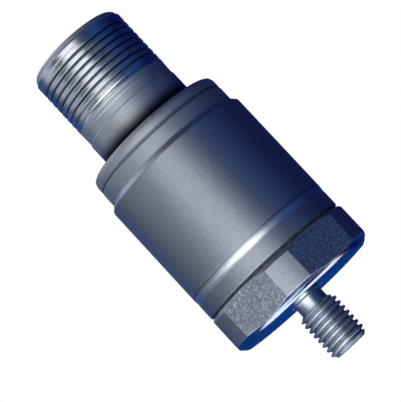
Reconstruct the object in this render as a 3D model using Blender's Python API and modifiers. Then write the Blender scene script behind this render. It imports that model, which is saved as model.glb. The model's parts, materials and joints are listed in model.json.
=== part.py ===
"""Vibration sensor: an industrial accelerometer in a welded steel case.

Units are metres and +Z is up. The origin is the centre of the mounting face,
with the screwed stud below it and the electrical connector above it.
A turned hexagonal base carries a bolted stack of two piezoelectric rings under
a seismic mass. A can screens the stack, a spacer tube carries the circuit
board, and three leads run to the pins of the glass-sealed connector.
"""
import math

import bmesh
import bpy
from mathutils import Matrix, Vector

MM = 0.001

# Clearances between pieces
SEAT = 0.2 * MM            # between two faces that seat on, or fit in, each other
HEADROOM = 0.6 * MM        # free height over the bolt head, and over the can
MERGE = 1e-6               # merge distance of the turned shapes

# Facets of round shapes
ROUND = 48                 # the case, the base and the connector shell
INNER_ROUND = 28           # what the case holds
STUD_ROUND = 24            # the threaded stud
SMALL_ROUND = 16           # pins, bolt sleeve and small holes
WIRE_POINTS = 9
ARC_STEPS = 3

# Mounting stud, turned in one piece with the base
STUD_RADIUS = 3.175 * MM
STUD_LENGTH = 9.4 * MM
STUD_RELIEF_DEPTH = 0.85 * MM
STUD_RELIEF_LENGTH = 1.75 * MM
STUD_LEAD_IN = 0.7 * MM
STUD_FILLET = 0.3 * MM
STUD_PITCH = 25.4 * MM / 28      # a 1/4-28 thread
STUD_THREAD_DEPTH = 0.54 * MM
STUD_END_LAND = 0.3 * MM         # plain between the lead-in and the first groove
STUD_ROOTING = 1.0 * MM          # how far the stud's form reaches up into the base

# Threads: grooves at the thread's pitch stand for the helix
THREAD_HALF_ANGLE = 30.0

# Hexagon of the base
FLAT_INSET = 0.04 * MM      # flats inside the case's outer radius
HEX_HEIGHT = 6.4 * MM
CORNER_PROUD = 0.81 * MM    # how far the rounded corners stand outside the flats
CORNER_CONE = 0.65 * MM     # height of the cone that rounds the corners at the top
FACE_CHAMFER = 0.7 * MM     # steep chamfer round the mounting face
FACE_INSET = 0.92 * MM      # mounting face edge inside the flats
SHOULDER_INSET = 0.15 * MM  # top of the steep chamfer inside the flats
CORNER_RISE = 0.37 * MM     # shallow cone from there out to the corners

# Base above the hexagon
GROOVE_WIDTH = 0.4 * MM
GROOVE_DEPTH = 0.4 * MM
BAND_HEIGHT = 2.7 * MM
SPIGOT_HEIGHT = 1.9 * MM
SPIGOT_WALL = 1.1 * MM
SPIGOT_CHAMFER = 0.3 * MM
MOAT_DEPTH = 1.4 * MM       # ring groove that keeps base strain out of the stack

# Case tube
CASE_WALL = 1.63 * MM
TUBE_CHAMFER = 0.8 * MM
SHOULDER_STEP = 0.73 * MM
SHOULDER_LENGTH = 3.4 * MM

# Connector shell
FLANGE_RIM = 0.8 * MM
FLANGE_ROUND = 0.25 * MM
PLUG_DEPTH = 1.9 * MM       # part of the flange that enters the tube
LOWER_NECK_PROUD = 0.0375 * MM   # lower neck outside the thread
LOWER_NECK_LENGTH = 4.2 * MM
UPPER_NECK_INSET = 0.0625 * MM   # upper neck inside the thread
UPPER_NECK_LENGTH = 2.2 * MM
NECK_FILLET = 0.35 * MM
THREAD_RADIUS = 7.9375 * MM
THREAD_PITCH = 25.4 * MM / 24    # a 5/8-24 thread
THREAD_TURNS = 9
THREAD_DEPTH = 0.31 * MM
LEAD_IN_LENGTH = 0.335 * MM
RIM_CHAMFER = 0.33 * MM
RIM_INNER_CHAMFER = 0.25 * MM
SOCKET_WALL = 1.5 * MM      # from the thread's outside to the socket
SEAL_LEDGE = 1.1 * MM       # step that the glass sits on
KEYWAY_WIDTH = 1.7 * MM
KEYWAY_DEPTH = 0.4 * MM

# Glass seal and pins
SEAL_DEPTH = 12.3 * MM      # from the rim down to the glass
SEAL_THICKNESS = 3.0 * MM
SEAL_DISH = 0.25 * MM
PIN_RADIUS = 0.8 * MM
PIN_CIRCLE_RADIUS = 2.8 * MM
PIN_RECESS = 4.3 * MM       # from the rim down to the pin tips
PIN_TAIL = 3.0 * MM         # from the glass down to the end of the solder cup
CUP_RADIUS = 1.1 * MM
CUP_BORE_RADIUS = 0.7 * MM
CUP_DEPTH = 1.7 * MM
PIN_ANGLES = {"a": 90.0, "b": 210.0, "c": 330.0}

# Bolted sensing stack
RING_WIDTH = 3.5 * MM
RING_INSET = 0.3 * MM       # rings inside the edge of the mass
LEAD_SPACE = 1.9 * MM       # between the seismic mass and the can
INSULATOR_THICKNESS = 0.6 * MM
PIEZO_THICKNESS = 1.0 * MM
ELECTRODE_THICKNESS = 0.25 * MM
TAB_WIDTH = 1.8 * MM
MASS_HEIGHT = 3.6 * MM
MASS_CHAMFER = 0.3 * MM
UPPER_INSULATOR_RADIUS = 4.4 * MM
SPRING_RADIUS = 3.6 * MM
SPRING_THICKNESS = 0.5 * MM
SPRING_DISH = 0.3 * MM
BOLT_RADIUS = 1.5 * MM
BOLT_HEAD_RADIUS = 2.75 * MM
BOLT_HEAD_HEIGHT = 2.0 * MM
BOLT_ENGAGEMENT = 4.0 * MM
BOLT_SOCKET_ACROSS_FLATS = 2.5 * MM
BOLT_SOCKET_DEPTH = 1.2 * MM
BOLT_CHAMFER = 0.25 * MM
DRILL_ROOM = 0.3 * MM
SLEEVE_WALL = 0.5 * MM

# Screening can, spacer and circuit board
CAN_WALL = 0.4 * MM
CAN_ROUND = 0.5 * MM
CAN_RING_THICKNESS = 0.6 * MM
CAN_RING_WIDTH = 0.9 * MM
SPACER_WALL = 1.6 * MM
BOARD_THICKNESS = 1.0 * MM
WIRING_SPACE = 4.45 * MM    # from the board up to the connector shell
BOARD_LEDGE = 0.9 * MM      # ledge in the spacer that the board lies on
SPACER_RIM = 0.9 * MM       # rim of the spacer round the board
LEAD_HOLE_RADIUS = 0.55 * MM

# Parts on the board
CHIP_LENGTH = 4.9 * MM
CHIP_WIDTH = 3.9 * MM
CHIP_HEIGHT = 1.4 * MM
CHIP_INSET = 4.0 * MM       # from the board's edge to the chip's centre
CHIP_BEVEL = 0.2 * MM
CHIP_LEGS_PER_SIDE = 4
CHIP_LEG_PITCH = 1.27 * MM
CHIP_LEG_WIDTH = 0.4 * MM
CHIP_LEG_REACH = 0.9 * MM
CHIP_LEG_HEIGHT = 0.7 * MM
CAPACITOR_SIZE = (3.2 * MM, 1.6 * MM, 1.3 * MM)
CAPACITOR_INSET = 3.6 * MM
RESISTOR_SIZE = (2.0 * MM, 1.25 * MM, 0.6 * MM)
RESISTOR_INSET = 2.2 * MM
COMPONENT_BEVEL = 0.12 * MM
BOARD_PARTS = {
    "coupling_capacitor": (150.0, CAPACITOR_SIZE, CAPACITOR_INSET),
    "filter_capacitor": (30.0, CAPACITOR_SIZE, CAPACITOR_INSET),
    "bias_resistor": (120.0, RESISTOR_SIZE, RESISTOR_INSET),
    "feedback_resistor": (60.0, RESISTOR_SIZE, RESISTOR_INSET),
}

# Leads
LEAD_RADIUS = 0.35 * MM
LEAD_PAD_RADIUS = 4.6 * MM
LEAD_BOW = 0.5 * MM
LEAD_IN_CUP = 1.0 * MM
SIGNAL_LEAD_RADIUS = 0.25 * MM
SIGNAL_LEAD_ANGLE = 180.0
SIGNAL_LEAD_BOW = 0.8 * MM

# Radii, worked outwards from the bolt, because the case is as wide as its contents need
SLEEVE_INNER = BOLT_RADIUS + SEAT
SLEEVE_OUTER = SLEEVE_INNER + SLEEVE_WALL
RING_BORE = SLEEVE_OUTER + SEAT
RING_RADIUS = RING_BORE + RING_WIDTH
MASS_RADIUS = RING_RADIUS + RING_INSET
CAN_INNER = MASS_RADIUS + LEAD_SPACE
CAN_RADIUS = CAN_INNER + CAN_WALL
SIGNAL_LEAD_CIRCLE = (MASS_RADIUS + CAN_INNER) / 2
SPACER_INNER = CAN_RADIUS + SEAT
BOARD_RADIUS = SPACER_INNER + BOARD_LEDGE
SPIGOT_RADIUS = SPACER_INNER + SPACER_WALL
BORE_RADIUS = SPIGOT_RADIUS + SEAT
CASE_RADIUS = BORE_RADIUS + CASE_WALL
SHOULDER_RADIUS = CASE_RADIUS - SHOULDER_STEP
APOTHEM = CASE_RADIUS - FLAT_INSET
CORNER_RADIUS = APOTHEM + CORNER_PROUD
LOWER_NECK_RADIUS = THREAD_RADIUS + LOWER_NECK_PROUD
UPPER_NECK_RADIUS = THREAD_RADIUS - UPPER_NECK_INSET
SOCKET_RADIUS = THREAD_RADIUS - SOCKET_WALL
LEDGE_RADIUS = SOCKET_RADIUS - SEAL_LEDGE

# Heights of the base
Z_GROOVE = HEX_HEIGHT
Z_BAND = Z_GROOVE + GROOVE_WIDTH
Z_SEAM = Z_BAND + BAND_HEIGHT
Z_SPIGOT = Z_SEAM + SPIGOT_HEIGHT
Z_MOAT = Z_SPIGOT - MOAT_DEPTH

# Heights of the stack on the base, and of the can and the board over it
Z_LOWER_INSULATOR = Z_SPIGOT + SEAT
Z_LOWER_PIEZO = Z_LOWER_INSULATOR + INSULATOR_THICKNESS + SEAT
Z_ELECTRODE = Z_LOWER_PIEZO + PIEZO_THICKNESS + SEAT
Z_UPPER_PIEZO = Z_ELECTRODE + ELECTRODE_THICKNESS + SEAT
Z_MASS = Z_UPPER_PIEZO + PIEZO_THICKNESS + SEAT
Z_MASS_TOP = Z_MASS + MASS_HEIGHT
Z_UPPER_INSULATOR = Z_MASS_TOP + SEAT
Z_SPRING = Z_UPPER_INSULATOR + INSULATOR_THICKNESS + SEAT
Z_BOLT_HEAD = Z_SPRING + SPRING_THICKNESS + SPRING_DISH + SEAT
Z_BOLT_TOP = Z_BOLT_HEAD + BOLT_HEAD_HEIGHT
Z_BOLT_END = Z_SPIGOT - BOLT_ENGAGEMENT
Z_CAN_RING = Z_MOAT + SEAT
Z_CAN_FOOT = Z_CAN_RING + CAN_RING_THICKNESS + SEAT
Z_CAN_CEILING = Z_BOLT_TOP + HEADROOM
Z_CAN_TOP = Z_CAN_CEILING + CAN_WALL
Z_BOARD = Z_CAN_TOP + HEADROOM
Z_BOARD_TOP = Z_BOARD + BOARD_THICKNESS

# Heights of the connector shell, and of the tube that reaches up to it
Z_PLUG = Z_BOARD_TOP + WIRING_SPACE
Z_RIM_UNDERSIDE = Z_PLUG + PLUG_DEPTH
Z_FLANGE = Z_RIM_UNDERSIDE + FLANGE_RIM
Z_UPPER_NECK = Z_FLANGE + LOWER_NECK_LENGTH
Z_THREAD = Z_UPPER_NECK + UPPER_NECK_LENGTH
Z_LEAD_IN = Z_THREAD + THREAD_TURNS * THREAD_PITCH
Z_RIM = Z_LEAD_IN + THREAD_DEPTH + LEAD_IN_LENGTH + RIM_CHAMFER
Z_TUBE = Z_SEAM + SEAT
Z_TUBE_END = Z_RIM_UNDERSIDE - SEAT
Z_SHOULDER = Z_TUBE_END - SHOULDER_LENGTH
Z_TUBE_CHAMFER = Z_SHOULDER - TUBE_CHAMFER

# Heights of the glass and the pins
Z_SEAL = Z_RIM - SEAL_DEPTH
Z_SEAL_UNDERSIDE = Z_SEAL - SEAL_THICKNESS
Z_SEAL_LEDGE = Z_SEAL_UNDERSIDE - SEAT
Z_CUP = Z_SEAL_UNDERSIDE - PIN_TAIL

# Finishes: colour, metallic, roughness
FINISHES = {
    "stainless_steel": ((0.63, 0.64, 0.67), 1.0, 0.34),
    "contact_gold": ((0.83, 0.62, 0.29), 1.0, 0.25),
    "seal_glass": ((0.10, 0.16, 0.15), 0.0, 0.15),
    "alumina": ((0.88, 0.87, 0.83), 0.0, 0.5),
    "piezo_ceramic": ((0.62, 0.56, 0.42), 0.0, 0.55),
    "copper_foil": ((0.75, 0.42, 0.28), 1.0, 0.35),
    "tungsten_alloy": ((0.38, 0.38, 0.40), 1.0, 0.4),
    "nickel_plate": ((0.66, 0.64, 0.58), 1.0, 0.3),
    "spacer_polymer": ((0.72, 0.62, 0.45), 0.0, 0.6),
    "board_laminate": ((0.06, 0.25, 0.12), 0.0, 0.45),
    "moulded_black": ((0.03, 0.03, 0.035), 0.0, 0.5),
    "capacitor_ceramic": ((0.55, 0.42, 0.27), 0.0, 0.5),
    "lead_red": ((0.55, 0.05, 0.04), 0.0, 0.45),
    "lead_white": ((0.80, 0.80, 0.78), 0.0, 0.45),
    "lead_black": ((0.02, 0.02, 0.02), 0.0, 0.45),
}
LEAD_FINISHES = {"a": "lead_red", "b": "lead_white", "c": "lead_black"}


def clear_scene():
    """Remove what the scene holds."""
    for item in list(bpy.data.objects):
        bpy.data.objects.remove(item, do_unlink=True)


def make_collection(name):
    """Make a collection in the scene."""
    group = bpy.data.collections.new(name)
    bpy.context.scene.collection.children.link(group)
    return group


clear_scene()
PARTS = make_collection("vibration_sensor")
CUTTERS = make_collection("cutters")


def finish_material(name):
    """Return the Principled material of a finish, making it the first time."""
    material = bpy.data.materials.get(name)
    if material is None:
        colour, metallic, roughness = FINISHES[name]
        material = bpy.data.materials.new(name)
        material.use_nodes = True
        shader = material.node_tree.nodes["Principled BSDF"]
        shader.inputs["Base Color"].default_value = (*colour, 1.0)
        shader.inputs["Metallic"].default_value = metallic
        shader.inputs["Roughness"].default_value = roughness
        material.diffuse_color = (*colour, 1.0)
    return material


def add_piece(name, data, finish):
    """Put a sub-part's mesh or curve in the sensor's collection."""
    piece = bpy.data.objects.new(name, data)
    data.materials.append(finish_material(finish))
    PARTS.objects.link(piece)
    return piece


def add_cutter(name, data):
    """Put a mesh that only cuts or joins in the cutters' collection."""
    tool = bpy.data.objects.new(name, data)
    tool.display_type = "WIRE"
    tool.hide_render = True
    CUTTERS.objects.link(tool)
    return tool


def combine(piece, tool, operation="DIFFERENCE"):
    """Cut a piece with a tool, or join the tool to it."""
    boolean = piece.modifiers.new(tool.name, "BOOLEAN")
    boolean.operation = operation
    boolean.solver = "EXACT"
    boolean.object = tool


def arc(centre, radius, start, end, steps=ARC_STEPS):
    """Points (radius, height) round a centre, between two angles in degrees."""
    points = []
    for step in range(steps + 1):
        angle = math.radians(start + (end - start) * step / steps)
        points.append((centre[0] + radius * math.cos(angle),
                       centre[1] + radius * math.sin(angle)))
    return points


def ring(inner, outer, low, high):
    """Closed profile of a plain ring."""
    return [(outer, high), (outer, low), (inner, low), (inner, high)]


def thread_grooves(radius, depth, pitch, top, count):
    """Points of V-shaped grooves below a height, one to each turn of a thread."""
    half = depth * math.tan(math.radians(THREAD_HALF_ANGLE))
    points = []
    for turn in range(count):
        middle = top - pitch * (turn + 0.5)
        points += [(radius, middle + half), (radius - depth, middle), (radius, middle - half)]
    return points


def turned(name, profile, finish=None, steps=ROUND, closed=False):
    """Turn a profile about Z: it runs down the outer side, and ends on the axis or closes.

    Without a finish it is a tool for combine.
    """
    count = len(profile)
    edges = [(i, i + 1) for i in range(count - 1)]
    if closed:
        edges.append((count - 1, 0))
    mesh = bpy.data.meshes.new(name)
    mesh.from_pydata([(radius, 0.0, height) for radius, height in profile], edges, [])
    piece = add_piece(name, mesh, finish) if finish else add_cutter(name, mesh)
    screw = piece.modifiers.new("Turn", "SCREW")
    screw.axis = "Z"
    screw.steps = steps
    screw.render_steps = steps
    screw.use_merge_vertices = True
    screw.merge_threshold = MERGE
    screw.use_smooth_shade = True
    return piece


def prism_mesh(name, sides, radius, low, high, centre=(0.0, 0.0)):
    """Upright prism or cylinder between two heights, with a corner towards +Y."""
    mesh = bpy.data.meshes.new(name)
    shape = bmesh.new()
    place = Matrix.Translation((centre[0], centre[1], (low + high) / 2))
    bmesh.ops.create_cone(shape, cap_ends=True, segments=sides, radius1=radius,
                          radius2=radius, depth=high - low, matrix=place)
    shape.to_mesh(mesh)
    shape.free()
    return mesh


def box_mesh(name, size, centre):
    """Box of a size about a centre."""
    mesh = bpy.data.meshes.new(name)
    shape = bmesh.new()
    place = Matrix.Translation(centre) @ Matrix.Diagonal((*size, 1.0))
    bmesh.ops.create_cube(shape, size=1.0, matrix=place)
    shape.to_mesh(mesh)
    shape.free()
    return mesh


def bevelled(piece, width):
    """Break the edges of a block."""
    bevel = piece.modifiers.new("Edges", "BEVEL")
    bevel.width = width
    bevel.segments = 2
    return piece


def on_circle(radius, angle):
    """Point at a radius and an angle in degrees."""
    turn = math.radians(angle)
    return radius * math.cos(turn), radius * math.sin(turn)


def lead(name, route, radius, finish):
    """Wire along a route, as a bevelled poly curve with filled ends."""
    curve = bpy.data.curves.new(name, "CURVE")
    curve.dimensions = "3D"
    curve.bevel_depth = radius
    curve.bevel_resolution = 2
    curve.use_fill_caps = True
    spline = curve.splines.new("POLY")
    spline.points.add(len(route) - 1)
    for point, place in zip(spline.points, route):
        point.co = (*place, 1.0)
    return add_piece(name, curve, finish)


def stud_form():
    """Threaded stud with its root relief, as a tool that reaches into the base."""
    root = STUD_RADIUS - STUD_RELIEF_DEPTH
    thread_top = -STUD_RELIEF_LENGTH - STUD_RELIEF_DEPTH * 0.7
    lead_in = -STUD_LENGTH + STUD_LEAD_IN
    turns = int((thread_top - lead_in - STUD_END_LAND) / STUD_PITCH)
    grooves_top = lead_in + STUD_END_LAND + turns * STUD_PITCH
    return turned("stud_form", [
        (0.0, STUD_ROOTING),
        (root + STUD_FILLET, STUD_ROOTING),
        *arc((root + STUD_FILLET, -STUD_FILLET), STUD_FILLET, 90.0, 180.0),
        (root, -STUD_RELIEF_LENGTH),
        (STUD_RADIUS, thread_top),
        *thread_grooves(STUD_RADIUS, STUD_THREAD_DEPTH, STUD_PITCH, grooves_top, turns),
        (STUD_RADIUS, lead_in),
        (STUD_RADIUS - STUD_LEAD_IN, -STUD_LENGTH),
        (0.0, -STUD_LENGTH),
    ], steps=STUD_ROUND)


def base():
    """Hexagonal base with its stud, weld band, spigot, moat and tapped pedestal."""
    shaft_hole = BOLT_RADIUS + SEAT
    hole_end = Z_BOLT_END - DRILL_ROOM
    profile = [
        (0.0, hole_end - shaft_hole / math.tan(math.radians(59.0))),
        (shaft_hole, hole_end),
        (shaft_hole, Z_SPIGOT),
        (MASS_RADIUS, Z_SPIGOT),
        (MASS_RADIUS, Z_MOAT),
        (SPIGOT_RADIUS - SPIGOT_WALL, Z_MOAT),
        (SPIGOT_RADIUS - SPIGOT_WALL, Z_SPIGOT),
        (SPIGOT_RADIUS - SPIGOT_CHAMFER, Z_SPIGOT),
        (SPIGOT_RADIUS, Z_SPIGOT - SPIGOT_CHAMFER),
        (SPIGOT_RADIUS, Z_SEAM),
        (CASE_RADIUS, Z_SEAM),
        (CASE_RADIUS, Z_BAND),
        (CASE_RADIUS - GROOVE_DEPTH, Z_BAND),
        (CASE_RADIUS - GROOVE_DEPTH, Z_GROOVE),
        (APOTHEM, Z_GROOVE),
        (CORNER_RADIUS, Z_GROOVE - CORNER_CONE),
        (CORNER_RADIUS, FACE_CHAMFER + CORNER_RISE),
        (APOTHEM - SHOULDER_INSET, FACE_CHAMFER),
        (APOTHEM - FACE_INSET, 0.0),
        (0.0, 0.0),
    ]
    piece = turned("base", profile, "stainless_steel")
    corner = APOTHEM / math.cos(math.radians(30.0))
    around = add_cutter("hexagon_surround",
                        prism_mesh("hexagon_surround", ROUND, 2 * CORNER_RADIUS, -STUD_LENGTH, Z_GROOVE))
    inside = add_cutter("hexagon",
                        prism_mesh("hexagon", 6, corner, -2 * STUD_LENGTH, Z_GROOVE + STUD_LENGTH))
    combine(around, inside)
    combine(piece, around)
    combine(piece, stud_form(), "UNION")
    return piece


def case_tube():
    """Tube with the chamfer down to its reduced end."""
    profile = [
        (SHOULDER_RADIUS, Z_TUBE_END),
        (SHOULDER_RADIUS, Z_SHOULDER),
        (CASE_RADIUS, Z_TUBE_CHAMFER),
        (CASE_RADIUS, Z_TUBE),
        (BORE_RADIUS, Z_TUBE),
        (BORE_RADIUS, Z_TUBE_END),
    ]
    return turned("case_tube", profile, "stainless_steel", closed=True)


def connector_shell():
    """Flange, neck and threaded barrel with its stepped socket and keyway."""
    lead_in_radius = THREAD_RADIUS - THREAD_DEPTH
    fillet_centre = (LOWER_NECK_RADIUS + NECK_FILLET, Z_FLANGE + NECK_FILLET)
    rim_centre = (SHOULDER_RADIUS - FLANGE_ROUND, Z_FLANGE - FLANGE_ROUND)
    step = LOWER_NECK_RADIUS - UPPER_NECK_RADIUS
    profile = [
        (lead_in_radius - RIM_CHAMFER, Z_RIM),
        (lead_in_radius, Z_RIM - RIM_CHAMFER),
        (lead_in_radius, Z_LEAD_IN + THREAD_DEPTH),
        (THREAD_RADIUS, Z_LEAD_IN),
        *thread_grooves(THREAD_RADIUS, THREAD_DEPTH, THREAD_PITCH, Z_LEAD_IN, THREAD_TURNS),
        (THREAD_RADIUS, Z_THREAD),
        (UPPER_NECK_RADIUS, Z_THREAD - UPPER_NECK_INSET),
        (UPPER_NECK_RADIUS, Z_UPPER_NECK + step),
        (LOWER_NECK_RADIUS, Z_UPPER_NECK),
        *arc(fillet_centre, NECK_FILLET, 180.0, 270.0),
        *arc(rim_centre, FLANGE_ROUND, 90.0, 0.0),
        (SHOULDER_RADIUS, Z_RIM_UNDERSIDE),
        (SPIGOT_RADIUS, Z_RIM_UNDERSIDE),
        (SPIGOT_RADIUS, Z_PLUG + SPIGOT_CHAMFER),
        (SPIGOT_RADIUS - SPIGOT_CHAMFER, Z_PLUG),
        (LEDGE_RADIUS, Z_PLUG),
        (LEDGE_RADIUS, Z_SEAL_LEDGE),
        (SOCKET_RADIUS, Z_SEAL_LEDGE),
        (SOCKET_RADIUS, Z_RIM - RIM_INNER_CHAMFER),
        (SOCKET_RADIUS + RIM_INNER_CHAMFER, Z_RIM),
    ]
    piece = turned("connector_shell", profile, "stainless_steel", closed=True)
    keyway_size = (KEYWAY_WIDTH, 2 * SOCKET_RADIUS, 2 * (Z_RIM - Z_SEAL))
    keyway_centre = (0.0, KEYWAY_DEPTH, Z_RIM)
    combine(piece, add_cutter("keyway", box_mesh("keyway", keyway_size, keyway_centre)))
    return piece


def glass_seal():
    """Glass disc, dished between the shell and the pins, with a hole for each pin."""
    radius = SOCKET_RADIUS - SEAT
    profile = [
        (0.0, Z_SEAL),
        (PIN_CIRCLE_RADIUS + PIN_RADIUS, Z_SEAL),
        ((radius + PIN_CIRCLE_RADIUS + PIN_RADIUS) / 2, Z_SEAL - SEAL_DISH),
        (radius, Z_SEAL),
        (radius, Z_SEAL_UNDERSIDE),
        (0.0, Z_SEAL_UNDERSIDE),
    ]
    piece = turned("glass_seal", profile, "seal_glass", steps=INNER_ROUND)
    for letter, angle in PIN_ANGLES.items():
        name = "pin_hole_" + letter
        hole = prism_mesh(name, SMALL_ROUND, PIN_RADIUS + SEAT, Z_SEAL_LEDGE - SEAL_THICKNESS, Z_RIM,
                          on_circle(PIN_CIRCLE_RADIUS, angle))
        combine(piece, add_cutter(name, hole))
    return piece


def contact_pin(letter, angle):
    """Pin with a rounded tip above the glass and an open solder cup below it."""
    tip = Z_RIM - PIN_RECESS
    cup_top = Z_SEAL_UNDERSIDE - SEAT
    round_centre = (0.0, tip - PIN_RADIUS)
    profile = [
        *arc(round_centre, PIN_RADIUS, 90.0, 0.0),
        (PIN_RADIUS, cup_top),
        (CUP_RADIUS, cup_top),
        (CUP_RADIUS, Z_CUP),
        (CUP_BORE_RADIUS, Z_CUP),
        (CUP_BORE_RADIUS, Z_CUP + CUP_DEPTH),
        (0.0, Z_CUP + CUP_DEPTH),
    ]
    name = "contact_pin_" + letter
    piece = turned(name, profile, "contact_gold", steps=SMALL_ROUND)
    x, y = on_circle(PIN_CIRCLE_RADIUS, angle)
    piece.location = (x, y, 0.0)
    notch_size = (2 * CUP_RADIUS, 2 * CUP_BORE_RADIUS, 1.2 * CUP_DEPTH)
    notch = add_cutter("cup_notch_" + letter, box_mesh(name + "_notch", notch_size,
                                                       (CUP_RADIUS, 0.0, Z_CUP)))
    notch.location = (x, y, 0.0)
    notch.rotation_euler = (0.0, 0.0, math.radians(angle))
    combine(piece, notch)
    return piece


def stack_rings():
    """Insulators, piezoelectric rings, seismic mass and sleeve round the bolt."""
    lower = Z_LOWER_INSULATOR
    turned("lower_insulator", ring(RING_BORE, RING_RADIUS, lower, lower + INSULATOR_THICKNESS),
           "alumina", steps=INNER_ROUND, closed=True)
    for name, low in (("lower_piezo_ring", Z_LOWER_PIEZO), ("upper_piezo_ring", Z_UPPER_PIEZO)):
        turned(name, ring(RING_BORE, RING_RADIUS, low, low + PIEZO_THICKNESS), "piezo_ceramic",
               steps=INNER_ROUND, closed=True)
    mass = [
        (MASS_RADIUS - MASS_CHAMFER, Z_MASS_TOP),
        (MASS_RADIUS, Z_MASS_TOP - MASS_CHAMFER),
        (MASS_RADIUS, Z_MASS + MASS_CHAMFER),
        (MASS_RADIUS - MASS_CHAMFER, Z_MASS),
        (RING_BORE, Z_MASS),
        (RING_BORE, Z_MASS_TOP),
    ]
    turned("seismic_mass", mass, "tungsten_alloy", steps=INNER_ROUND, closed=True)
    turned("bolt_sleeve", ring(SLEEVE_INNER, SLEEVE_OUTER, Z_LOWER_INSULATOR, Z_MASS_TOP),
           "spacer_polymer", steps=SMALL_ROUND, closed=True)
    upper = Z_UPPER_INSULATOR
    turned("upper_insulator", ring(SLEEVE_INNER, UPPER_INSULATOR_RADIUS, upper,
                                   upper + INSULATOR_THICKNESS), "alumina", steps=INNER_ROUND, closed=True)


def electrode():
    """Foil ring between the piezoelectric rings, with the tab that the lead joins."""
    low, high = Z_ELECTRODE, Z_ELECTRODE + ELECTRODE_THICKNESS
    piece = turned("electrode", ring(RING_BORE, RING_RADIUS, low, high), "copper_foil",
                   steps=INNER_ROUND, closed=True)
    reach = SIGNAL_LEAD_CIRCLE + SIGNAL_LEAD_RADIUS
    start = (RING_BORE + RING_RADIUS) / 2
    angle = math.radians(SIGNAL_LEAD_ANGLE)
    tab = add_cutter("electrode_tab", box_mesh("electrode_tab",
                                               (reach - start, TAB_WIDTH, ELECTRODE_THICKNESS),
                                               ((reach + start) / 2, 0.0, (low + high) / 2)))
    tab.rotation_euler = (0.0, 0.0, angle)
    combine(piece, tab, "UNION")
    return piece


def spring_washer():
    """Conical spring washer under the bolt head."""
    low = Z_SPRING
    profile = [
        (SLEEVE_INNER, low + SPRING_DISH + SPRING_THICKNESS),
        (SPRING_RADIUS, low + SPRING_THICKNESS),
        (SPRING_RADIUS, low),
        (SLEEVE_INNER, low + SPRING_DISH),
    ]
    return turned("spring_washer", profile, "nickel_plate", steps=INNER_ROUND, closed=True)


def preload_bolt():
    """Socket-head bolt that clamps the stack to the base."""
    profile = [
        (0.0, Z_BOLT_TOP),
        (BOLT_HEAD_RADIUS - BOLT_CHAMFER, Z_BOLT_TOP),
        (BOLT_HEAD_RADIUS, Z_BOLT_TOP - BOLT_CHAMFER),
        (BOLT_HEAD_RADIUS, Z_BOLT_HEAD),
        (BOLT_RADIUS, Z_BOLT_HEAD),
        (BOLT_RADIUS, Z_BOLT_END + BOLT_CHAMFER),
        (BOLT_RADIUS - BOLT_CHAMFER, Z_BOLT_END),
        (0.0, Z_BOLT_END),
    ]
    piece = turned("preload_bolt", profile, "nickel_plate", steps=INNER_ROUND)
    corner = BOLT_SOCKET_ACROSS_FLATS / 2 / math.cos(math.radians(30.0))
    socket = prism_mesh("bolt_socket", 6, corner, Z_BOLT_TOP - BOLT_SOCKET_DEPTH,
                        Z_BOLT_TOP + BOLT_SOCKET_DEPTH)
    combine(piece, add_cutter("bolt_socket", socket))
    return piece


def shield_can():
    """Drawn can over the stack, open below, with a hole for the signal lead."""
    outer_centre = (CAN_RADIUS - CAN_ROUND - CAN_WALL, Z_CAN_TOP - CAN_ROUND - CAN_WALL)
    profile = [
        (0.0, Z_CAN_TOP),
        *arc(outer_centre, CAN_ROUND + CAN_WALL, 90.0, 0.0),
        (CAN_RADIUS, Z_CAN_FOOT),
        (CAN_INNER, Z_CAN_FOOT),
        *arc(outer_centre, CAN_ROUND, 0.0, 90.0),
        (0.0, Z_CAN_CEILING),
    ]
    piece = turned("shield_can", profile, "nickel_plate", steps=INNER_ROUND)
    hole = prism_mesh("can_hole", SMALL_ROUND, LEAD_HOLE_RADIUS, Z_CAN_CEILING - CAN_ROUND,
                      Z_CAN_TOP + CAN_ROUND, on_circle(SIGNAL_LEAD_CIRCLE, SIGNAL_LEAD_ANGLE))
    combine(piece, add_cutter("can_hole", hole))
    return piece


def can_ring():
    """Insulating ring in the moat, under the can's foot."""
    return turned("can_insulator", ring(CAN_RADIUS - CAN_RING_WIDTH, CAN_RADIUS, Z_CAN_RING,
                                        Z_CAN_RING + CAN_RING_THICKNESS),
                  "spacer_polymer", steps=INNER_ROUND, closed=True)


def board_spacer():
    """Insulating tube on the spigot, with a ledge and a rim for the circuit board."""
    profile = [
        (SPIGOT_RADIUS, Z_BOARD + SPACER_RIM),
        (SPIGOT_RADIUS, Z_SPIGOT + SEAT),
        (SPACER_INNER, Z_SPIGOT + SEAT),
        (SPACER_INNER, Z_BOARD - SEAT),
        (BOARD_RADIUS + SEAT, Z_BOARD - SEAT),
        (BOARD_RADIUS + SEAT, Z_BOARD + SPACER_RIM),
    ]
    return turned("board_spacer", profile, "spacer_polymer", steps=INNER_ROUND, closed=True)


def circuit_board():
    """Round board with the hole that the signal lead passes through."""
    profile = [(0.0, Z_BOARD_TOP), (BOARD_RADIUS, Z_BOARD_TOP), (BOARD_RADIUS, Z_BOARD), (0.0, Z_BOARD)]
    piece = turned("circuit_board", profile, "board_laminate", steps=INNER_ROUND)
    hole = prism_mesh("board_hole", SMALL_ROUND, LEAD_HOLE_RADIUS, Z_BOARD - BOARD_THICKNESS,
                      Z_BOARD_TOP + BOARD_THICKNESS, on_circle(SIGNAL_LEAD_CIRCLE, SIGNAL_LEAD_ANGLE))
    combine(piece, add_cutter("board_hole", hole))
    return piece


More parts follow.
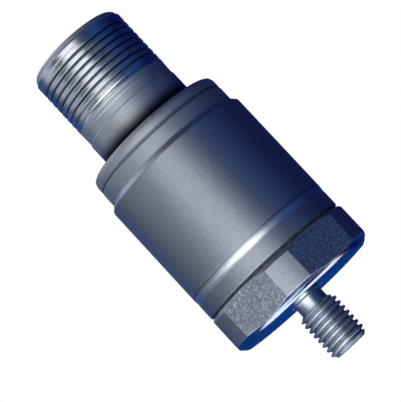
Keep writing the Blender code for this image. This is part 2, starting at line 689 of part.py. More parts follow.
def amplifier_chip():
    """Moulded amplifier with a row of legs along each long side."""
    foot = Z_BOARD_TOP + SEAT
    y = -(BOARD_RADIUS - CHIP_INSET)
    size = (CHIP_LENGTH, CHIP_WIDTH, CHIP_HEIGHT)
    piece = add_piece("amplifier_chip", box_mesh("amplifier_chip", size, (0.0, y, foot + CHIP_HEIGHT / 2)),
                      "moulded_black")
    bevelled(piece, CHIP_BEVEL)
    span = CHIP_WIDTH + 2 * CHIP_LEG_REACH
    for leg in range(CHIP_LEGS_PER_SIDE):
        x = (leg - (CHIP_LEGS_PER_SIDE - 1) / 2) * CHIP_LEG_PITCH
        name = "chip_legs_" + str(leg + 1)
        legs = box_mesh(name, (CHIP_LEG_WIDTH, span, CHIP_LEG_HEIGHT), (x, y, foot + CHIP_LEG_HEIGHT / 2))
        combine(piece, add_cutter(name, legs), "UNION")
    return piece


def board_part(name, angle, size, inset):
    """Two-ended chip component lying along X on the board."""
    x, y = on_circle(BOARD_RADIUS - inset, angle)
    centre = (x, y, Z_BOARD_TOP + SEAT + size[2] / 2)
    finish = "capacitor_ceramic" if name.endswith("capacitor") else "moulded_black"
    return bevelled(add_piece(name, box_mesh(name, size, centre), finish), COMPONENT_BEVEL)


def pin_lead(letter, angle):
    """Lead that rises from its pad on the board, bows outwards and ends in the pin's cup."""
    pad = Vector((*on_circle(LEAD_PAD_RADIUS, angle), Z_BOARD_TOP + SEAT))
    cup = Vector((*on_circle(PIN_CIRCLE_RADIUS, angle), Z_CUP + LEAD_IN_CUP))
    bend_end = Vector((cup.x, cup.y, Z_CUP - LEAD_RADIUS))
    outwards = Vector((*on_circle(1.0, angle), 0.0))
    route = []
    for step in range(WIRE_POINTS):
        part = step / (WIRE_POINTS - 1)
        ease = part * part * (3.0 - 2.0 * part)
        place = pad.lerp(bend_end, ease)
        place.z = pad.z + (bend_end.z - pad.z) * part
        route.append(place + outwards * LEAD_BOW * math.sin(math.pi * part) ** 2)
    route.append(cup)
    return lead("pin_lead_" + letter, route, LEAD_RADIUS, LEAD_FINISHES[letter])


def signal_lead():
    """Wire from the electrode's tab, bowed inwards over the mass, then through can and board."""
    x, y = on_circle(SIGNAL_LEAD_CIRCLE, SIGNAL_LEAD_ANGLE)
    inwards = Vector((-x, -y, 0.0)).normalized()
    low = Z_ELECTRODE + ELECTRODE_THICKNESS + SEAT
    bow_start = Z_MASS_TOP + SEAT
    bow_end = Z_CAN_CEILING - SEAT
    route = [Vector((x, y, low))]
    for step in range(WIRE_POINTS):
        part = step / (WIRE_POINTS - 1)
        place = Vector((x, y, bow_start + (bow_end - bow_start) * part))
        route.append(place + inwards * SIGNAL_LEAD_BOW * math.sin(math.pi * part) ** 2)
    route.append(Vector((x, y, Z_BOARD_TOP + SEAT)))
    return lead("signal_lead", route, SIGNAL_LEAD_RADIUS, "lead_white")


base()
case_tube()
connector_shell()
glass_seal()
for pin_letter, pin_angle in PIN_ANGLES.items():
    contact_pin(pin_letter, pin_angle)
    pin_lead(pin_letter, pin_angle)
stack_rings()
electrode()
spring_washer()
preload_bolt()
shield_can()
can_ring()
board_spacer()
circuit_board()
amplifier_chip()
for part_name, (part_angle, part_size, part_inset) in BOARD_PARTS.items():
    board_part(part_name, part_angle, part_size, part_inset)
signal_lead()
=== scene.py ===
import json
import math

import bpy
import numpy as np
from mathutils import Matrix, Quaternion, Vector


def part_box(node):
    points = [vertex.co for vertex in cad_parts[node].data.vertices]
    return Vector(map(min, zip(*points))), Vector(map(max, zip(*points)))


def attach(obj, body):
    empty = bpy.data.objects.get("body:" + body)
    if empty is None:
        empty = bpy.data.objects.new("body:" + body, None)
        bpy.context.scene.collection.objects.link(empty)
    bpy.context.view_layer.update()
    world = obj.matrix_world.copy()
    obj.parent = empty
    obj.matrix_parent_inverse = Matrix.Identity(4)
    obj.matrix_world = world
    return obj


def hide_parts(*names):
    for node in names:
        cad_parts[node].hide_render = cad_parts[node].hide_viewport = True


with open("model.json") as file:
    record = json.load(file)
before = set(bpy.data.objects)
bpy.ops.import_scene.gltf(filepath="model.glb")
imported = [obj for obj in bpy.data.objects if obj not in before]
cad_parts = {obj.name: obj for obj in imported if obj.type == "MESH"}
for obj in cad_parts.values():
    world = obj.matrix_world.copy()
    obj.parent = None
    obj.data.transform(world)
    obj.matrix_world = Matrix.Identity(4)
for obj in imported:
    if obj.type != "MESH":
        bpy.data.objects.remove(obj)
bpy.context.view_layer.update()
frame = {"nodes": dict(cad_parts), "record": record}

MM = 0.001
TURN = 2 * math.pi
SIXTH = TURN / 6

# Sizes read from the frame
BASE_LOW, BASE_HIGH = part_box("base")
TUBE_LOW, TUBE_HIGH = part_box("case_tube")
SHELL_LOW, SHELL_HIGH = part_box("connector_shell")
GLASS_LOW, GLASS_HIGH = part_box("glass_seal")
PIN_NODES = ("contact_pin_a", "contact_pin_b", "contact_pin_c")
PIN_LOW, PIN_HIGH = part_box("contact_pin_a")
STUD_END = BASE_LOW.z
SPIGOT_TOP = BASE_HIGH.z
CASE_RADIUS = TUBE_HIGH.x
CORNER_RADIUS = BASE_HIGH.y
TUBE_FOOT = TUBE_LOW.z
TUBE_END = TUBE_HIGH.z
PLUG_END = SHELL_LOW.z
RIM = SHELL_HIGH.z
SEAT = 0.2 * MM

# Both threads are in inches. Share of a pitch that is flat at the root, and rows of points to a pitch
INCH = 25.4 * MM
ROOT_SHARE = 0.08
ROWS_TO_PITCH = 34

# Stud, a 1/4-28 thread with a crest at height 0 on the X axis, and the relief above it
STUD_RADIUS = 3.175 * MM
STUD_PITCH = INCH / 28
STUD_THREAD_DEPTH = 0.54 * MM
STUD_CREST_SHARE = 0.24
STUD_CREST_HEIGHT = 0.0
STUD_CHAMFER = 0.7 * MM
RELIEF_RADIUS = STUD_RADIUS - 0.85 * MM
RELIEF_END = -1.75 * MM
RELIEF_CONE = -2.35 * MM
ROOT_FILLET = 0.3 * MM

# Hexagon and band of the base. The chamfer round the mounting face is crowned, and its rows
# are (drop under the apothem, height) in mm.
APOTHEM = CASE_RADIUS - 0.04 * MM
FACE_CHAMFER = 0.7 * MM
FACE_CHAMFER_SHAPE = ((2.2, 0.0), (1.14, 0.0), (1.03, 0.03), (0.87, 0.11), (0.62, 0.27), (0.37, 0.46))
FILLET_STEPS = 6
SHOULDER_RADIUS = APOTHEM - 0.15 * MM
CORNER_FOOT = 1.07 * MM
CORNER_TOP = 5.75 * MM
HEX_TOP = 6.4 * MM
CONE_TOP_RADIUS = APOTHEM - 0.05 * MM
GROOVE_TOP = 6.8 * MM
GROOVE_RADIUS = CASE_RADIUS - 0.4 * MM
BAND_RADIUS = CASE_RADIUS - 0.05 * MM
SEAM = 9.5 * MM
FLAT_HALF_ANGLE = math.acos(APOTHEM / CORNER_RADIUS)
EDGE_HOLD_ANGLE = math.radians(0.15)
FLAT_COLUMNS = 15
CORNER_COLUMNS = 7
SHOULDER_ROUNDING = 0.03 * MM
BASE_ROUNDING = 0.09 * MM

# Inside of the base
SPIGOT_RADIUS = CASE_RADIUS - 1.83 * MM
SPIGOT_INNER = SPIGOT_RADIUS - 1.1 * MM
SPIGOT_CHAMFER = 0.3 * MM
PEDESTAL_RADIUS = 6.2 * MM
MOAT_FLOOR = SPIGOT_TOP - 1.4 * MM
BOLT_HOLE_RADIUS = 1.7 * MM
BOLT_HOLE_END = SPIGOT_TOP - 4.3 * MM
BOLT_HOLE_TIP = BOLT_HOLE_END - BOLT_HOLE_RADIUS / math.tan(math.radians(59.0))

# Case tube, whose wall dips a little towards the lower weld
TUBE_BORE = CASE_RADIUS - 1.63 * MM
TUBE_CHAMFER = 27.4 * MM
TUBE_SHOULDER = 28.2 * MM
NECKED_RADIUS = CASE_RADIUS - 0.73 * MM
WELD_SINK = 0.01 * MM
WELD_SINK_RUN = 1.5 * MM
TUBE_COLUMNS = 192
TUBE_ROUNDING = 0.12 * MM

# Weld beads: rows of (drop under the steel beside it, height) in mm, the ends of the grooves
# that they lie in, and the arc ripples that the laser left in them
LOWER_WELD_SHAPE = ((0.09, 9.27), (0.09, 9.48), (0.07, 9.66), (0.045, 9.86), (0.024, 10.05),
                    (0.005, 10.35), (0.0, 10.7))
UPPER_WELD_SHAPE = ((0.06, 30.66), (0.06, 31.0), (0.045, 31.3), (0.05, 31.7), (0.1, 32.05), (0.26, 32.42))
LOWER_WELD_FOOT = 9.27 * MM
LOWER_WELD_HEAD = 10.7 * MM
UPPER_WELD_FOOT = 30.62 * MM
UPPER_GROOVE_RUN = 0.22 * MM
UPPER_WELD_HEAD = 32.42 * MM
WELD_SEAT = 0.12 * MM
WELD_ROWS = 29
WELD_RIPPLE_PITCH = 0.4 * MM
WELD_RIPPLE_HEIGHT = 0.007 * MM
WELD_RIPPLE_LAG = 0.9
WELD_RIPPLE_COLUMNS = 6

# Connector shell: flange and neck, which has a step and two low rings
FLANGE_UNDERSIDE = 31.8 * MM
FLANGE_TOP = 32.6 * MM
FLANGE_RADIUS = NECKED_RADIUS - 0.45 * MM
FLANGE_TOP_RADIUS = NECKED_RADIUS - 0.5 * MM
FLANGE_ROUNDING = 0.1 * MM
NECK_FILLET = 0.35 * MM
NECK_FILLET_ROWS = 6
LOWER_NECK_RADIUS = 7.975 * MM
UPPER_NECK_RADIUS = 7.86 * MM
NECK_STEP = 36.8 * MM
NECK_STEP_TOP = NECK_STEP + 0.1 * MM
NECK_ROUNDING = 0.05 * MM
LOW_RING = 38.08 * MM
LOW_RING_TOP = LOW_RING + 0.2 * MM
LOW_RING_RADIUS = UPPER_NECK_RADIUS + 0.04 * MM
HIGH_RING_RADIUS = UPPER_NECK_RADIUS + 0.03 * MM

# Connector shell: barrel with a 5/8-24 thread that runs in and out, and the keyed socket
THREAD_RADIUS = 7.9375 * MM
THREAD_PITCH = INCH / 24
THREAD_DEPTH = 0.31 * MM
THREAD_CREST_SHARE = 0.5
THREAD_CREST_HEIGHT = 0.12 * MM
THREAD_START = 39.0 * MM
THREAD_END = 48.525 * MM
THREAD_STOP = THREAD_END - 0.6 * MM
THREAD_RUN_IN = 2.2 * MM
THREAD_RUN_OUT = 0.5 * MM
HIGH_RING = THREAD_START - 0.28 * MM
HIGH_RING_TOP = THREAD_START - 0.05 * MM
LEAD_IN_RADIUS = 7.6275 * MM
LEAD_IN_START = 48.835 * MM
RIM_CHAMFER = 0.33 * MM
RIM_ROUNDING = 0.07 * MM
SOCKET_RADIUS = 6.4375 * MM
SOCKET_CHAMFER = 0.25 * MM
KEYWAY_HALF = 0.85 * MM
KEYWAY_REACH = SOCKET_RADIUS + 0.4 * MM
KEY_COLUMNS = 9
SOCKET_COLUMNS = 180
LEDGE_RADIUS = SOCKET_RADIUS - 1.1 * MM
LEDGE = GLASS_LOW.z - SEAT

# Height of the tool marks on neck and threads, and the heights between which the painted shade on the
# neck clears above the flange, the painted shade on the lower weld's top clears, and the upper weld
# turns from dark at its foot to light
TOOL_MARK_HEIGHT = 0.003 * MM
NECK_SHADE_LOW = FLANGE_TOP + 0.7 * MM
NECK_SHADE_HIGH = FLANGE_TOP + 3.0 * MM
LOWER_WELD_SHADED = 10.72 * MM
LOWER_WELD_UNSHADED = 10.05 * MM
UPPER_WELD_DARK = 30.6 * MM
UPPER_WELD_LIGHT = 31.15 * MM

# Small lengths that keep a pole, an edge or a row apart from its neighbour
POLE = 0.05 * MM
EDGE = 0.05 * MM
ROW_STEP = 0.02 * MM
CLOSING_STEP = 0.01 * MM

# Glass and pins
GLASS_DISH = 0.25 * MM
GLASS_COLUMNS = 96
GLASS_DISH_ROWS = 13
GLASS_MIDDLE_ROWS = 8
GLASS_UNDER_ROWS = 6
PIN_COLUMNS = 48
PIN_TIP_ROWS = 8
PIN_RADIUS = 0.8 * MM
PIN_CIRCLE = 2.8 * MM
PIN_ANGLES = (90.0, 210.0, 330.0)
CUP_RADIUS = 1.1 * MM
CUP_BORE = 0.7 * MM
CUP_DEPTH = 1.7 * MM
CUP_NOTCH = 1.02 * MM
COLLAR_EDGE = 0.06 * MM
TIP_POLE = 0.03 * MM

# Camera, in pixels of the picture, metres and degrees
FOCAL_PIXELS = 2000.0
FRAME_PIXELS = 402.0
SENSOR_MM = 36.0
CAMERA_DISTANCE = 284.35 * MM
CAMERA_HEIGHT = -16.86 * MM
CAMERA_AZIMUTH = 1.4
CAMERA_ROLL = -42.85
AIM_HEIGHT = 20.43 * MM
AIM_SIDE = -1.77 * MM
CLIP_START = 0.01

# Floor and tent in metres, and the tent's colours by angle round the sensor in degrees
FLOOR_REACH = 1.6
FLOOR_LEVEL = -1.0
TENT_RADIUS = 0.9
TENT_MOUTH = math.radians(9.0)
TENT_ROWS = 40
TENT_COLUMNS = 64
TENT_STOPS = ((-180, "#0a3a86"), (-130, "#083c78"), (-105, "#44464e"), (-75, "#3c3e46"), (-45, "#0c0c14"),
              (0, "#02020a"), (60, "#003a7c"), (95, "#00063f"), (140, "#000852"), (180, "#0a3a86"))

# Lamps: name, azimuth, elevation, width and height in degrees, level, colour and distance in
# metres. Each stands where the steel mirrors it as one of the photo's highlights.
LAMPS = (
    ("wide_key", -24.0, -30.0, 76.0, 56.0, 1.15, "#dcebfb", 0.36),
    ("left_key", -82.0, -26.0, 36.0, 30.0, 1.05, "#c3d8fb", 0.36),
    ("key_core", -16.0, -22.0, 44.0, 32.0, 1.4, "#f3f3ff", 0.36),
    ("under_fill", -45.0, -72.0, 46.0, 30.0, 1.1, "#d3efff", 0.36),
    ("upper_left_fill", -112.0, 60.0, 54.0, 46.0, 0.8, "#e6edf8", 0.36),
    ("low_back_light", 180.0, -70.0, 60.0, 20.0, 1.35, "#edf3ff", 0.36),
    ("thread_card", -16.0, 25.0, 36.0, 10.0, 2.2, "#f6f9fc", 0.15),
    ("thread_side_card", -86.0, 25.0, 34.0, 12.0, 0.7, "#dfe8f5", 0.15),
)

# Finishes of the pins and of the pieces inside the case, these by record slot: name, metallic,
# lowest and highest roughness, two colours, and the width and height of the grain in mm,
# which is drawn as coarse as it needs to show.
# The pins are gold over nickel on turned brass: a warm, soft gloss.
PIN_FINISH = ("gold_plate", 1.0, 0.2, 0.3, "#dcae5c", "#ecc67c", 0.6, 0.003)
INNER_FINISHES = {
    # Ground white ceramic: even and almost matt
    "alumina": ("ground_alumina", 0.0, 0.45, 0.6, "#dcdad2", "#eceae3", 0.15, 0.004),
    # Pressed and fired ceramic: buff, dry and a little gritty
    "piezo_ceramic": ("piezo_ceramic", 0.0, 0.5, 0.65, "#b8ad8e", "#c8bd9f", 0.2, 0.006),
    # Rolled copper foil: a red gloss, faintly streaked
    "copper_foil": ("rolled_copper", 1.0, 0.25, 0.4, "#c98b62", "#dca27a", 0.5, 0.002),
    # Turned tungsten alloy: dark grey with a soft highlight
    "tungsten_alloy": ("heavy_alloy", 1.0, 0.32, 0.45, "#8c8c90", "#a0a0a3", 0.3, 0.004),
    # Dull nickel plate: a yellowish grey gloss
    "nickel_plate": ("dull_nickel", 1.0, 0.25, 0.38, "#c9c4b8", "#d6d1c6", 0.4, 0.002),
    # Machined high-temperature polymer: tan with a silky gloss
    "spacer_polymer": ("tan_polymer", 0.0, 0.4, 0.55, "#c8a87a", "#d4b68b", 0.3, 0.005),
    # Green solder mask over woven glass laminate: glossy, with the weave faintly raised
    "board_laminate": ("solder_mask", 0.0, 0.3, 0.42, "#155a30", "#1f6d3c", 0.4, 0.006),
    # Black epoxy moulding: matt and finely pitted
    "moulded_black": ("moulding_compound", 0.0, 0.5, 0.62, "#1a1a1c", "#262629", 0.12, 0.006),
    # Fired capacitor body: brown with a soft sheen
    "capacitor_ceramic": ("fired_ceramic", 0.0, 0.4, 0.5, "#9a7a50", "#a98a60", 0.2, 0.003),
    # Extruded fluoropolymer insulation in three colours: smooth with a waxy gloss
    "lead_red": ("red_insulation", 0.0, 0.35, 0.45, "#b3241c", "#c2332a", 0.5, 0.002),
    "lead_white": ("white_insulation", 0.0, 0.35, 0.45, "#dcdcd8", "#e9e9e6", 0.5, 0.002),
    "lead_black": ("black_insulation", 0.0, 0.35, 0.45, "#19191a", "#242426", 0.5, 0.002),
}


def linear(code):
    """Linear RGBA of an sRGB hex colour: c/12.92 below 0.04045, else ((c+0.055)/1.055)^2.4."""
    parts = [int(code[i:i + 2], 16) / 255 for i in (1, 3, 5)]
    return tuple(c / 12.92 if c <= 0.04045 else ((c + 0.055) / 1.055) ** 2.4 for c in parts) + (1.0,)


def add_node(tree, kind, settings=None, inputs=None):
    """Add a node of a kind with its settings, and set or link its inputs."""
    node = tree.nodes.new(kind)
    for name, value in (settings or {}).items():
        setattr(node, name, value)
    for name, value in (inputs or {}).items():
        if isinstance(value, bpy.types.NodeSocket):
            tree.links.new(value, node.inputs[name])
        else:
            node.inputs[name].default_value = value
    return node


def new_material(name, metallic, roughness, colour):
    """Material with its Principled shader set to plain values."""
    material = bpy.data.materials.new(name)
    material.use_nodes = True
    shader = material.node_tree.nodes["Principled BSDF"]
    shader.inputs["Metallic"].default_value = metallic
    shader.inputs["Roughness"].default_value = roughness
    shader.inputs["Base Color"].default_value = linear(colour)
    return material, material.node_tree, shader


def two_tone(tree, factor, low, high, first, second):
    """Let the base colour go from the first to the second as a factor goes from low to high."""
    ramp = add_node(tree, "ShaderNodeValToRGB", inputs={"Fac": factor})
    ramp.color_ramp.elements[0].position = low
    ramp.color_ramp.elements[0].color = linear(first)
    ramp.color_ramp.elements[1].position = high
    ramp.color_ramp.elements[1].color = linear(second)
    tree.links.new(ramp.outputs["Color"], tree.nodes["Principled BSDF"].inputs["Base Color"])


def blasted_steel(name, low_rough, high_rough, dark, light):
    """Stainless steel, fine bead blasted: a wide soft highlight over a close, even grain.

    The real grain is about 0.05 mm wide, and is drawn as coarse as it needs to show.
    """
    grain_width = 0.22 * MM
    grain_height = 0.016 * MM
    pit_width = 0.4 * MM
    material, tree, shader = new_material(name, 1.0, low_rough, dark)
    place = add_node(tree, "ShaderNodeTexCoord").outputs["Object"]
    grain = add_node(tree, "ShaderNodeTexNoise", inputs={
        "Vector": place, "Scale": 1 / grain_width, "Detail": 3.0, "Roughness": 0.6})
    pits = add_node(tree, "ShaderNodeTexNoise", inputs={
        "Vector": place, "Scale": 1 / pit_width, "Detail": 3.0, "Roughness": 0.8})
    two_tone(tree, pits.outputs["Fac"], 0.2, 0.8, dark, light)
    rough = add_node(tree, "ShaderNodeMapRange", inputs={
        "Value": grain.outputs["Fac"], "From Min": 0.3, "From Max": 0.7,
        "To Min": low_rough, "To Max": high_rough})
    tree.links.new(rough.outputs["Result"], shader.inputs["Roughness"])
    bump = add_node(tree, "ShaderNodeBump", inputs={
        "Height": grain.outputs["Fac"], "Strength": 0.5, "Distance": grain_height})
    tree.links.new(bump.outputs["Normal"], shader.inputs["Normal"])
    return material


def etched_flat_steel():
    """Stainless steel flats, coarse blasted: small tilted facets in the bump, and painted glints, bright
    specks in the colour over a grey ground.

    The painted glints are specks * patches + patch share * patches, so the specks gather in clouds. The
    real grit is about 0.1 mm, and is drawn as coarse as it needs to show.
    """
    facet_width = 0.2 * MM
    facet_height = 0.045 * MM
    speck_spacing = 0.3 * MM
    patch_width = 0.5 * MM
    patch_share = 0.3
    material, tree, shader = new_material("etched_flat_steel", 1.0, 0.45, "#cfd2d7")
    place = add_node(tree, "ShaderNodeTexCoord").outputs["Object"]
    facets = add_node(tree, "ShaderNodeTexNoise", inputs={
        "Vector": place, "Scale": 1 / facet_width, "Detail": 3.0, "Roughness": 0.6})
    cells = add_node(tree, "ShaderNodeTexVoronoi", inputs={"Vector": place, "Scale": 1 / speck_spacing})
    specks = add_node(tree, "ShaderNodeMapRange", inputs={
        "Value": cells.outputs["Distance"], "From Min": 0.1, "From Max": 0.5, "To Min": 1.0, "To Max": 0.0})
    clouds = add_node(tree, "ShaderNodeTexNoise", inputs={
        "Vector": place, "Scale": 1 / patch_width, "Detail": 4.0, "Roughness": 0.75})
    patches = add_node(tree, "ShaderNodeMapRange", inputs={
        "Value": clouds.outputs["Fac"], "From Min": 0.36, "From Max": 0.66})
    lit = add_node(tree, "ShaderNodeMath", {"operation": "MULTIPLY"})
    tree.links.new(specks.outputs["Result"], lit.inputs[0])
    tree.links.new(patches.outputs["Result"], lit.inputs[1])
    sparkle = add_node(tree, "ShaderNodeMath", {"operation": "MULTIPLY_ADD"})
    tree.links.new(patches.outputs["Result"], sparkle.inputs[0])
    sparkle.inputs[1].default_value = patch_share
    tree.links.new(lit.outputs["Value"], sparkle.inputs[2])
    # Painted glints: grey steel away from the specks, near white at the specks
    two_tone(tree, sparkle.outputs["Value"], 0.0, 0.9, "#8e9299", "#fafbfc")
    bump = add_node(tree, "ShaderNodeBump", inputs={
        "Height": facets.outputs["Fac"], "Strength": 1.0, "Distance": facet_height})
    tree.links.new(bump.outputs["Normal"], shader.inputs["Normal"])
    return material


def groove_shade_steel():
    """Steel at the bottom of the narrow groove, darkened by painted shade and mottled between two dark
    greys.
    """
    shade_mottle_width = 0.9 * MM
    material, tree = new_material("painted_shade_groove_steel", 0.6, 0.6, "#34373e")[:2]
    place = add_node(tree, "ShaderNodeTexCoord").outputs["Object"]
    shade_mottle = add_node(tree, "ShaderNodeTexNoise", inputs={
        "Vector": place, "Scale": 1 / shade_mottle_width, "Detail": 4.0, "Roughness": 0.6})
    # Painted shade: the groove's steel is dark grey, mottled between two dark tones
    two_tone(tree, shade_mottle.outputs["Fac"], 0.3, 0.7, "#3a3d43", "#666a71")
    return material


def turned_steel(name, low_rough, high_rough, colour, ring_height=0.0):
    """Stainless steel as turned: fine tool rings under a highlight that wear makes uneven.

    The rings are a noise drawn out across the axis, several times as coarse as the real ones so
    that they show. A lapped face has none, and mirrors.
    """
    ring_width = 0.16 * MM
    drawn_out = 0.06
    wear_width = 2.2 * MM
    material, tree, shader = new_material(name, 1.0, low_rough, colour)
    place = add_node(tree, "ShaderNodeTexCoord").outputs["Object"]
    wear = add_node(tree, "ShaderNodeTexNoise", inputs={
        "Vector": place, "Scale": 1 / wear_width, "Detail": 2.0, "Roughness": 0.5})
    rough = add_node(tree, "ShaderNodeMapRange", inputs={
        "Value": wear.outputs["Fac"], "From Min": 0.35, "From Max": 0.65,
        "To Min": low_rough, "To Max": high_rough})
    tree.links.new(rough.outputs["Result"], shader.inputs["Roughness"])
    if ring_height:
        squeezed = add_node(tree, "ShaderNodeMapping", inputs={
            "Vector": place, "Scale": (drawn_out, drawn_out, 1.0)})
        rings = add_node(tree, "ShaderNodeTexNoise", inputs={
            "Vector": squeezed.outputs["Vector"], "Scale": 1 / ring_width, "Detail": 3.0, "Roughness": 0.6})
        bump = add_node(tree, "ShaderNodeBump", inputs={
            "Height": rings.outputs["Fac"], "Strength": 0.5, "Distance": ring_height})
        tree.links.new(bump.outputs["Normal"], shader.inputs["Normal"])
    return material


def neck_steel():
    """Turned steel of the neck, with painted shade that darkens it towards its corner with the flange."""
    material = turned_steel("turned_neck_steel", 0.5, 0.56, "#caccce", TOOL_MARK_HEIGHT)
    tree = material.node_tree
    place = add_node(tree, "ShaderNodeTexCoord").outputs["Object"]
    axes = add_node(tree, "ShaderNodeSeparateXYZ", inputs={"Vector": place})
    height = add_node(tree, "ShaderNodeMapRange", {"interpolation_type": "SMOOTHSTEP"}, {
        "Value": axes.outputs["Z"], "From Min": NECK_SHADE_LOW, "From Max": NECK_SHADE_HIGH})
    # Painted shade: near black up to 0.7 mm above the flange, clearing to the steel's colour by 3 mm above
    # it
    two_tone(tree, height.outputs["Result"], 0.0, 1.0, "#181b20", "#caccce")
    return material


def threaded_steel(name, low_rough, high_rough, root, crest, ground, light):
    """Turned steel of a thread, whose colour falls to a darker tone towards the root radius: painted shade
    in the roots.
    """
    material = turned_steel(name, low_rough, high_rough, light, TOOL_MARK_HEIGHT)
    tree = material.node_tree
    place = add_node(tree, "ShaderNodeTexCoord").outputs["Object"]
    flat = add_node(tree, "ShaderNodeMapping", inputs={"Vector": place, "Scale": (1.0, 1.0, 0.0)})
    radius = add_node(tree, "ShaderNodeVectorMath", {"operation": "LENGTH"}, {
        "Vector": flat.outputs["Vector"]})
    depth = add_node(tree, "ShaderNodeMapRange", inputs={
        "Value": radius.outputs["Value"], "From Min": root, "From Max": crest})
    # Painted shade: the colour darkens from the crest towards the root radius
    two_tone(tree, depth.outputs["Result"], 0.1, 0.7, ground, light)
    return material


def weld_steel(name, low_rough, high_rough, dark, light, dark_height, light_height):
    """Remelted steel of a laser weld: mottled, and dark at one height, turning light towards another."""
    mottle_width = 0.8 * MM
    material, tree, shader = new_material(name, 1.0, low_rough, dark)
    place = add_node(tree, "ShaderNodeTexCoord").outputs["Object"]
    mottle = add_node(tree, "ShaderNodeTexNoise", inputs={
        "Vector": place, "Scale": 1 / mottle_width, "Detail": 4.0, "Roughness": 0.6})
    axes = add_node(tree, "ShaderNodeSeparateXYZ", inputs={"Vector": place})
    dark_to_light = add_node(tree, "ShaderNodeMapRange", {"interpolation_type": "SMOOTHSTEP"}, {
        "Value": axes.outputs["Z"], "From Min": dark_height, "From Max": light_height})
    # From dark to light between the two heights: painted shade on the lower weld's top, and a darker foot on
    # the upper weld
    two_tone(tree, dark_to_light.outputs["Result"], 0.0, 1.0, dark, light)
    rough = add_node(tree, "ShaderNodeMapRange", inputs={
        "Value": mottle.outputs["Fac"], "From Min": 0.3, "From Max": 0.7,
        "To Min": low_rough, "To Max": high_rough})
    tree.links.new(rough.outputs["Result"], shader.inputs["Roughness"])
    return material


def sealing_glass():
    """Fused dark green glass: a wet gloss, with fine bubbles near its surface."""
    swirl_width = 1.6 * MM
    bubble_spacing = 0.5 * MM
    bubble_height = 0.01 * MM
    material, tree, shader = new_material("sealing_glass", 0.0, 0.08, "#1d2f2c")
    place = add_node(tree, "ShaderNodeTexCoord").outputs["Object"]
    swirl = add_node(tree, "ShaderNodeTexNoise", inputs={
        "Vector": place, "Scale": 1 / swirl_width, "Detail": 3.0, "Roughness": 0.5})
    two_tone(tree, swirl.outputs["Fac"], 0.35, 0.7, "#16241f", "#2c463f")
    bubbles = add_node(tree, "ShaderNodeTexVoronoi", inputs={"Vector": place, "Scale": 1 / bubble_spacing})
    bump = add_node(tree, "ShaderNodeBump", inputs={
        "Height": bubbles.outputs["Distance"], "Strength": 0.25, "Distance": bubble_height})
    tree.links.new(bump.outputs["Normal"], shader.inputs["Normal"])
    return material


def plain_finish(name, metallic, low_rough, high_rough, dark, light, grain, relief):
    """Finish of a small piece: mottled between two colours, with a grain of a width and relief in mm."""
    material, tree, shader = new_material(name, metallic, low_rough, dark)
    place = add_node(tree, "ShaderNodeTexCoord").outputs["Object"]
    mottle = add_node(tree, "ShaderNodeTexNoise", inputs={
        "Vector": place, "Scale": 1 / (grain * MM), "Detail": 4.0, "Roughness": 0.6})
    two_tone(tree, mottle.outputs["Fac"], 0.3, 0.7, dark, light)
    rough = add_node(tree, "ShaderNodeMapRange", inputs={
        "Value": mottle.outputs["Fac"], "From Min": 0.3, "From Max": 0.7,
        "To Min": low_rough, "To Max": high_rough})
    tree.links.new(rough.outputs["Result"], shader.inputs["Roughness"])
    bump = add_node(tree, "ShaderNodeBump", inputs={
        "Height": mottle.outputs["Fac"], "Strength": 0.5, "Distance": relief * MM})
    tree.links.new(bump.outputs["Normal"], shader.inputs["Normal"])
    return material


def softened(path, radius):
    """Round the corners of a path of (radius, height) rows, one path for each column.

    Each corner P becomes the curve (1-s)^2 A + 2s(1-s) P + s^2 B, where A and B lie on the
    two legs at the cut length from P, with a holding row just outside each end. The cut length
    is the radius, or a share of the shorter leg where that is less.
    """
    leg_share = 0.38
    hold = 1.3
    steps = 4
    rows = [path[0]]
    shares = np.linspace(0.0, 1.0, steps + 1)
    for before, corner, after in zip(path[:-2], path[1:-1], path[2:]):
        back = before - corner
        ahead = after - corner
        back_length = np.linalg.norm(back, axis=1, keepdims=True)
        ahead_length = np.linalg.norm(ahead, axis=1, keepdims=True)
        cut = np.minimum(radius, leg_share * np.minimum(back_length, ahead_length))
        start = corner + back / back_length * cut
        end = corner + ahead / ahead_length * cut
        rows.append(corner + back / back_length * cut * hold)
        rows.extend((1 - s) ** 2 * start + 2 * s * (1 - s) * corner + s * s * end for s in shares)
        rows.append(corner + ahead / ahead_length * cut * hold)
    rows.append(path[-1])
    return np.array(rows)


def around(profile, columns):
    """Rows of (radius, height) repeated for every column; a number may be one value per column."""
    count = len(columns)
    return np.array([np.stack([np.broadcast_to(r, count), np.broadcast_to(z, count)], axis=1)
                     for r, z in profile], dtype=float)


def thread_height(height, angle, pitch, crest_share, crest_height):
    """Height of a right-hand thread, 0 at the root and 1 at the crest.

    The phase is (height - crest height)/pitch - angle/turn; q is its distance from the nearest
    crest, 0 to 1. The form is (1 - root share - q) / (1 - root share - crest share), held
    between 0 and 1, with its two corners eased.
    """
    phase = (height - crest_height) / pitch - angle / TURN
    q = 2 * np.abs(phase - np.round(phase))
    slope = np.clip((1 - ROOT_SHARE - q) / (1 - ROOT_SHARE - crest_share), 0.0, 1.0)
    eased = slope * slope * (3 - 2 * slope)
    return 0.5 * slope + 0.5 * eased


